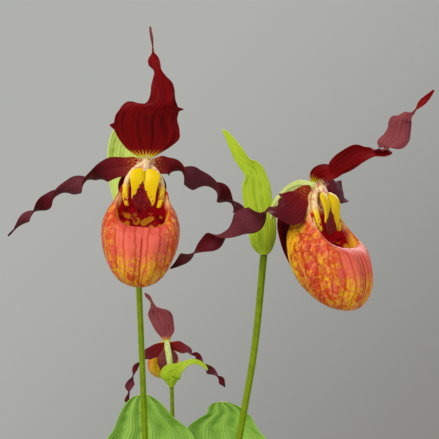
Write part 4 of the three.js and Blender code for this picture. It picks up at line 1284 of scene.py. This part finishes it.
class ORCHID_OT_columns(FlowerPieces):
    """Columns with their arms, stigma and hairs, and the shields that stand over the openings"""

    bl_idname = "orchid.columns"
    bl_label = "Columns and staminodes"

    def build(self, flower, colours):
        name = flower["name"]
        matrix = flower_matrix(flower)
        bm = bmesh.new()
        mirrored = [[-x, *rest] for x, *rest in ARM_ROWS]
        tube_mesh(bm, flower_rows(flower, COLUMN_ROWS), FACES["column"])
        for rows in (ARM_ROWS, mirrored, STIGMA_ROWS):
            tube_mesh(bm, flower_rows(flower, rows), FACES["arm"])
        hair_tuft(bm, flower)
        waxy = column_skin(colours)
        piece = finish_piece(bm, [f"column_{name}"], [waxy], matrix)
        smoothed(piece)

        form = {"facing": facing_back(flower), "cup": 0.2}
        bm = blade_mesh(flower_rows(flower, STAMINODE_ROWS), form, FACES["staminode"], shield_relief)
        shield = staminode_skin(colours)
        piece = finish_piece(bm, [f"staminode_{name}"], [shield, shield], matrix)
        thicken(piece, STAMINODE_THICK * MM * math.sqrt(flower["scale"]), STAMINODE_RIM_SHARE)


def hair_tuft(bm, flower):
    """Fine pale hairs that stand out from the head of the column, each a thin closed cone."""
    matrix = flower_matrix(flower)
    spots = random.Random(3)
    for _ in range(HAIR_COUNT):
        at = spots.uniform(*HAIR_SPAN)
        x, f, u, radius = sample(COLUMN_ROWS, at)
        angle = spots.uniform(0, 2 * math.pi)
        lean = spots.uniform(-0.3, 0.3)
        out = Vector((math.cos(angle), 0.5 * math.sin(angle), 0.6 * math.sin(angle) + lean))
        length = HAIR_LENGTH * spots.uniform(0.6, 1.0)
        root = Vector((x, f, u)) + out.normalized() * (radius - 0.3 + length / 2)
        turn = out.to_track_quat("Z", "Y").to_matrix().to_4x4()
        bmesh.ops.create_cone(
            bm, cap_ends=True, segments=3, radius1=HAIR_RADIUS, radius2=0.02, depth=length,
            matrix=matrix @ Matrix.Translation(root) @ turn,
        )


class ORCHID_OT_leaves(bpy.types.Operator):
    """Broad pleated leaves that clasp the stems"""

    bl_idname = "orchid.leaves"
    bl_label = "Leaves"
    bl_options = {"REGISTER", "UNDO"}

    def execute(self, context):
        colours = palette()
        upper = green_skin("pleated_leaf_upper_face", colours, "leaf_light", "leaf_vein_and_hollow_shade", 26, 0.45, 0.25)
        under = green_skin("pleated_leaf_under_face", colours, "leaf_light", "leaf_vein_and_hollow_shade", 26, 0.6, 0.35)
        for leaf in [*RAISED_LEAVES, *LEAVES]:
            turn = math.radians(leaf["azimuth"])
            direction = (math.cos(turn), math.sin(turn))
            rows = leaf_base(leaf, direction)
            rows += leaf["rows"] if "rows" in leaf else arched_rows(leaf, direction, rows[1])
            form = {
                "side": (-direction[1], direction[0], 0), "cup": 0.12, "base_cup": 0.95,
                "pleat": 1.1, "folds": 4,
            }
            bm = blade_mesh(rows, form, FACES["leaf"], leaf_relief)
            piece = finish_piece(bm, [leaf["name"]], [upper, under])
            thicken(piece, sizes().leaf_thick, RIM_SHARE)
        return {"FINISHED"}


def leaf_relief(s, t, reach):
    """Fine ribs between the pleats, and a slow ripple of the margin."""
    fade = max(0.0, min(1.0, 4 * t - 0.4, 4 * (1 - t)))
    ribs = 0.12 * math.cos(20 * math.pi * s) * carried(reach, 14)
    ripple = 0.9 * abs(s) ** 3 * math.sin(19 * t + (1.3 if s > 0 else 0))
    return fade * (ribs + ripple), 0.0, 0.0


def leaf_base(leaf, direction):
    """Rows of the clasping base beside the stem."""
    rows = []
    for rise, out, width in ((0, 0, 8), (11, 0.5, 13)):
        x, y, z, radius = stem_at(FLOWERS[leaf["shoot"]]["stem"], leaf["z"] + rise)
        away = radius + GAP + 0.4 + out
        rows.append([x + away * direction[0], y + away * direction[1], z, width, 0])
    return rows


def arched_rows(leaf, direction, start):
    """Rows of a leaf that leans further out along its length."""
    steps = 8
    first, last = leaf["lean"]
    out = up = 0.0
    rows = []
    for i in range(1, steps + 1):
        lean = math.radians(first + (last - first) * (i - 0.5) / steps)
        out += math.sin(lean) * leaf["length"] / steps
        up += math.cos(lean) * leaf["length"] / steps
        width = max(leaf["width"] * math.sin(math.pi * (0.09 + 0.91 * i / steps)), 1)
        rows.append([start[0] + out * direction[0], start[1] + out * direction[1], start[2] + up, width, 0])
    return rows


def pot_inner_radius(z):
    rise = (z - POT_FLOOR) / (POT_HEIGHT - POT_FLOOR)
    return POT_INNER_FOOT_RADIUS + rise * (POT_INNER_RIM_RADIUS - POT_INNER_FOOT_RADIUS)


def lathe(profile, steps):
    """A closed body of revolution from a profile of radius and z that starts and ends on the axis."""
    bm = bmesh.new()
    points = [bm.verts.new((radius, 0, z)) for radius, z in profile]
    edges = [bm.edges.new(pair) for pair in zip(points, points[1:])]
    bmesh.ops.spin(
        bm, geom=points + edges, cent=(0, 0, 0), axis=(0, 0, 1), angle=2 * math.pi, steps=steps,
        use_merge=True, use_duplicate=False,
    )
    bmesh.ops.remove_doubles(bm, verts=bm.verts, dist=LATHE_MERGE)
    bmesh.ops.recalc_face_normals(bm, faces=bm.faces)
    return bm


class ORCHID_OT_pot(bpy.types.Operator):
    """Plain clay pot with a collar, a rounded rim and drainage holes"""

    bl_idname = "orchid.pot"
    bl_label = "Pot"
    bl_options = {"REGISTER", "UNDO"}

    def execute(self, context):
        bm = lathe([
            (0, 0), (POT_FOOT_RADIUS - 2, 0), (POT_FOOT_RADIUS, 2),
            (POT_NECK_RADIUS, POT_COLLAR_BOTTOM), (POT_RIM_RADIUS - 2.5, POT_COLLAR_BOTTOM + 1),
            (POT_RIM_RADIUS, POT_HEIGHT - 3), (POT_RIM_RADIUS - 2, POT_HEIGHT),
            (POT_INNER_RIM_RADIUS + 1.5, POT_HEIGHT),
            (pot_inner_radius(POT_HEIGHT - 1.5), POT_HEIGHT - 1.5),
            (POT_INNER_FOOT_RADIUS, POT_FLOOR), (0, POT_FLOOR),
        ], steps=144)
        pot = finish_piece(bm, ["pot"], [clay_skin(palette())])
        cutters = bmesh.new()
        for i in range(DRAIN_COUNT):
            angle = 2 * math.pi * (i + 0.25) / DRAIN_COUNT
            middle = (DRAIN_CIRCLE * math.cos(angle), DRAIN_CIRCLE * math.sin(angle), POT_FLOOR / 2)
            spot = Vector(middle) * MM
            bmesh.ops.create_cone(
                cutters, cap_ends=True, segments=32, radius1=DRAIN_RADIUS * MM, radius2=DRAIN_RADIUS * MM,
                depth=3 * POT_FLOOR * MM, matrix=Matrix.Translation(spot),
            )
        cutter_mesh = bpy.data.meshes.new("drainage")
        cutters.to_mesh(cutter_mesh)
        cutters.free()
        cutter = bpy.data.objects.new("drainage", cutter_mesh)
        context.scene.collection.objects.link(cutter)
        cut = pot.modifiers.new("drainage", "BOOLEAN")
        cut.operation = "DIFFERENCE"
        cut.solver = "EXACT"
        cut.object = cutter
        soften = pot.modifiers.new("soften", "BEVEL")
        soften.width = 1.2 * MM
        soften.segments = 3
        soften.limit_method = "ANGLE"
        soften.angle_limit = math.radians(20)
        context.view_layer.update()
        finished = bpy.data.meshes.new_from_object(pot.evaluated_get(context.evaluated_depsgraph_get()))
        pot.modifiers.clear()
        pot.data = finished
        bpy.data.objects.remove(cutter)
        return {"FINISHED"}


class ORCHID_OT_potting_mix(bpy.types.Operator):
    """Potting mix with a crumbly top and loose bark chips"""

    bl_idname = "orchid.potting_mix"
    bl_label = "Potting mix"
    bl_options = {"REGISTER", "UNDO"}

    def execute(self, context):
        rim = pot_inner_radius(SOIL_TOP - SOIL_EDGE_DROP) - GAP
        rings = 44
        profile = [(0, POT_FLOOR + GAP), (POT_INNER_FOOT_RADIUS - GAP, POT_FLOOR + GAP)]
        profile += [(rim * i / rings, SOIL_TOP) for i in range(rings, -1, -1)]
        bm = lathe(profile, steps=128)
        for vertex in bm.verts:
            if vertex.co.z > SOIL_TOP - 1:
                vertex.co.z = soil_height(vertex.co.x, vertex.co.y, rim)
        spots = random.Random(7)
        for _ in range(sizes().bark_chips):
            radius = (rim - 7) * math.sqrt(spots.random())
            angle = 2 * math.pi * spots.random()
            x, y = radius * math.cos(angle), radius * math.sin(angle)
            length = spots.uniform(*CHIP_LENGTH)
            turn = Matrix.Rotation(spots.uniform(0, 2 * math.pi), 4, "Z")
            tilt = Matrix.Rotation(spots.uniform(-0.35, 0.35), 4, "X")
            half_width = length * spots.uniform(*CHIP_HALF_WIDTH_SHARE)
            size = Matrix.Diagonal((length / 2, half_width, spots.uniform(*CHIP_HALF_HEIGHT), 1))
            spot = Matrix.Translation((x, y, soil_height(x, y, rim) + 0.5))
            chip = bmesh.ops.create_icosphere(bm, subdivisions=1, radius=1.0)["verts"]
            for vertex in chip:
                vertex.co *= spots.uniform(0.75, 1.15)
            bmesh.ops.transform(bm, matrix=spot @ turn @ tilt @ size, verts=chip)
        loam = mix_skin(palette(), "bark_and_loam", "mix_light", "mix_dark")
        finish_piece(bm, ["soil"], [loam])
        return {"FINISHED"}


def soil_height(x, y, rim):
    """Height of the potting mix: the solid's slow relief with crumbs on it."""
    edge = math.hypot(x, y) / rim
    bumps = math.sin(0.19 * x + 1.3 * math.cos(0.11 * y)) * math.cos(0.16 * y + 0.7)
    slow = SOIL_RELIEF * bumps * (1 - edge ** 6) - SOIL_EDGE_DROP * edge ** 4
    crumbs = 0.9 * noise.fractal((x * 0.16, y * 0.16, 0.0), 0.8, 2.0, 4)
    return SOIL_TOP + slow + crumbs * (1 - edge ** 8)


class ORCHID_OT_stage(bpy.types.Operator):
    """Pale floor, soft studio light and the photograph's camera"""

    bl_idname = "orchid.stage"
    bl_label = "Stage"
    bl_options = {"REGISTER", "UNDO"}

    def execute(self, context):
        scene = context.scene
        scene.view_settings.view_transform = "Standard"

        camera = bpy.data.cameras.new("camera")
        camera.sensor_width = SENSOR
        camera.lens = SENSOR * -CAMERA_PLACE[1] / PICTURE_WIDTH
        camera.clip_start = 0.01
        camera.clip_end = 20.0
        eye = bpy.data.objects.new("camera", camera)
        eye.location = Vector(CAMERA_PLACE) * MM
        eye.rotation_euler = (math.radians(90), 0, 0)
        scene.collection.objects.link(eye)
        scene.camera = eye

        floor = bmesh.new()
        bmesh.ops.create_circle(floor, cap_ends=True, segments=96, radius=FLOOR_RADIUS)
        bmesh.ops.translate(floor, vec=(0, 0, -FLOOR_DROP), verts=floor.verts)
        mesh = bpy.data.meshes.new("floor")
        floor.to_mesh(mesh)
        floor.free()
        material, tree, shader = skin("painted_floor", roughness=0.7, specular=0.2)
        ground = add(tree, "ShaderNodeTexCoord").outputs["Object"]
        worn = patches(tree, ground, 300 * MM, 0.3, 0.8)
        tone = painted(tree, srgb("#c9c8c3"), [(worn, srgb("#c4c3be"))])
        tree.links.new(tone, shader.inputs["Base Color"])
        mesh.materials.append(material)
        plane = bpy.data.objects.new("floor", mesh)
        scene.collection.objects.link(plane)

        for name, spot, size, power, tint in LAMPS:
            light = bpy.data.lights.new(name, "AREA")
            light.size = size
            light.energy = power
            light.color = srgb(tint)[:3]
            lamp = bpy.data.objects.new(name, light)
            lamp.location = spot
            lamp.rotation_euler = (Vector(LAMPS_AIM) - Vector(spot)).to_track_quat("-Z", "Y").to_euler()
            scene.collection.objects.link(lamp)
        studio_wall(scene)
        return {"FINISHED"}


def studio_wall(scene):
    """Plain grey surroundings with painted shade: a little darker to the lower right, where the light on them
    falls off.
    """
    world = bpy.data.worlds.new("studio")
    world.use_nodes = True
    tree = world.node_tree
    direction = add(tree, "ShaderNodeTexCoord").outputs["Generated"]
    lit_side = (-0.72, 0.0, 0.69)
    slope = add(tree, "ShaderNodeVectorMath", {"operation": "DOT_PRODUCT"}, {0: direction, 1: lit_side})
    # Painted shade: the grey falls off from the lit upper left towards the lower right
    tone = mask(tree, (slope.outputs["Value"], -0.47, 0.2))
    grey = painted(tree, srgb("#878682"), [(tone, srgb("#b0b1ad"))])
    tree.links.new(grey, tree.nodes["Background"].inputs["Color"])
    tree.nodes["Background"].inputs["Strength"].default_value = 1.0
    scene.world = world


class ORCHID_PT_panel(bpy.types.Panel):
    """Pieces, colours and sizes of the orchid"""

    bl_label = "Orchid"
    bl_idname = "ORCHID_PT_panel"
    bl_space_type = "VIEW_3D"
    bl_region_type = "UI"
    bl_category = "Orchid"

    def draw(self, context):
        for operator in OPERATORS:
            self.layout.operator(operator.bl_idname)
        for key in OrchidSizes.__annotations__:
            self.layout.prop(context.scene.orchid_sizes, key)
        for key in COLOURS:
            self.layout.prop(context.scene.orchid_colours, key)


OPERATORS = (
    ORCHID_OT_stage,
    ORCHID_OT_pot,
    ORCHID_OT_potting_mix,
    ORCHID_OT_stalks,
    ORCHID_OT_leaves,
    ORCHID_OT_bracts,
    ORCHID_OT_sepals,
    ORCHID_OT_petals,
    ORCHID_OT_slippers,
    ORCHID_OT_columns,
)
CLASSES = (OrchidColours, OrchidSizes, *OPERATORS, ORCHID_PT_panel)


def register():
    for kind in CLASSES:
        bpy.utils.register_class(kind)
    bpy.types.Scene.orchid_colours = bpy.props.PointerProperty(type=OrchidColours)
    bpy.types.Scene.orchid_sizes = bpy.props.PointerProperty(type=OrchidSizes)


def unregister():
    del bpy.types.Scene.orchid_sizes
    del bpy.types.Scene.orchid_colours
    for kind in reversed(CLASSES):
        bpy.utils.unregister_class(kind)


def main():
    register()
    bpy.ops.orchid.stage()
    bpy.ops.orchid.pot()
    bpy.ops.orchid.potting_mix()
    bpy.ops.orchid.stalks()
    bpy.ops.orchid.leaves()
    bpy.ops.orchid.bracts()
    bpy.ops.orchid.sepals()
    bpy.ops.orchid.petals()
    bpy.ops.orchid.slippers()
    bpy.ops.orchid.columns()


if __name__ == "__main__":
    main()
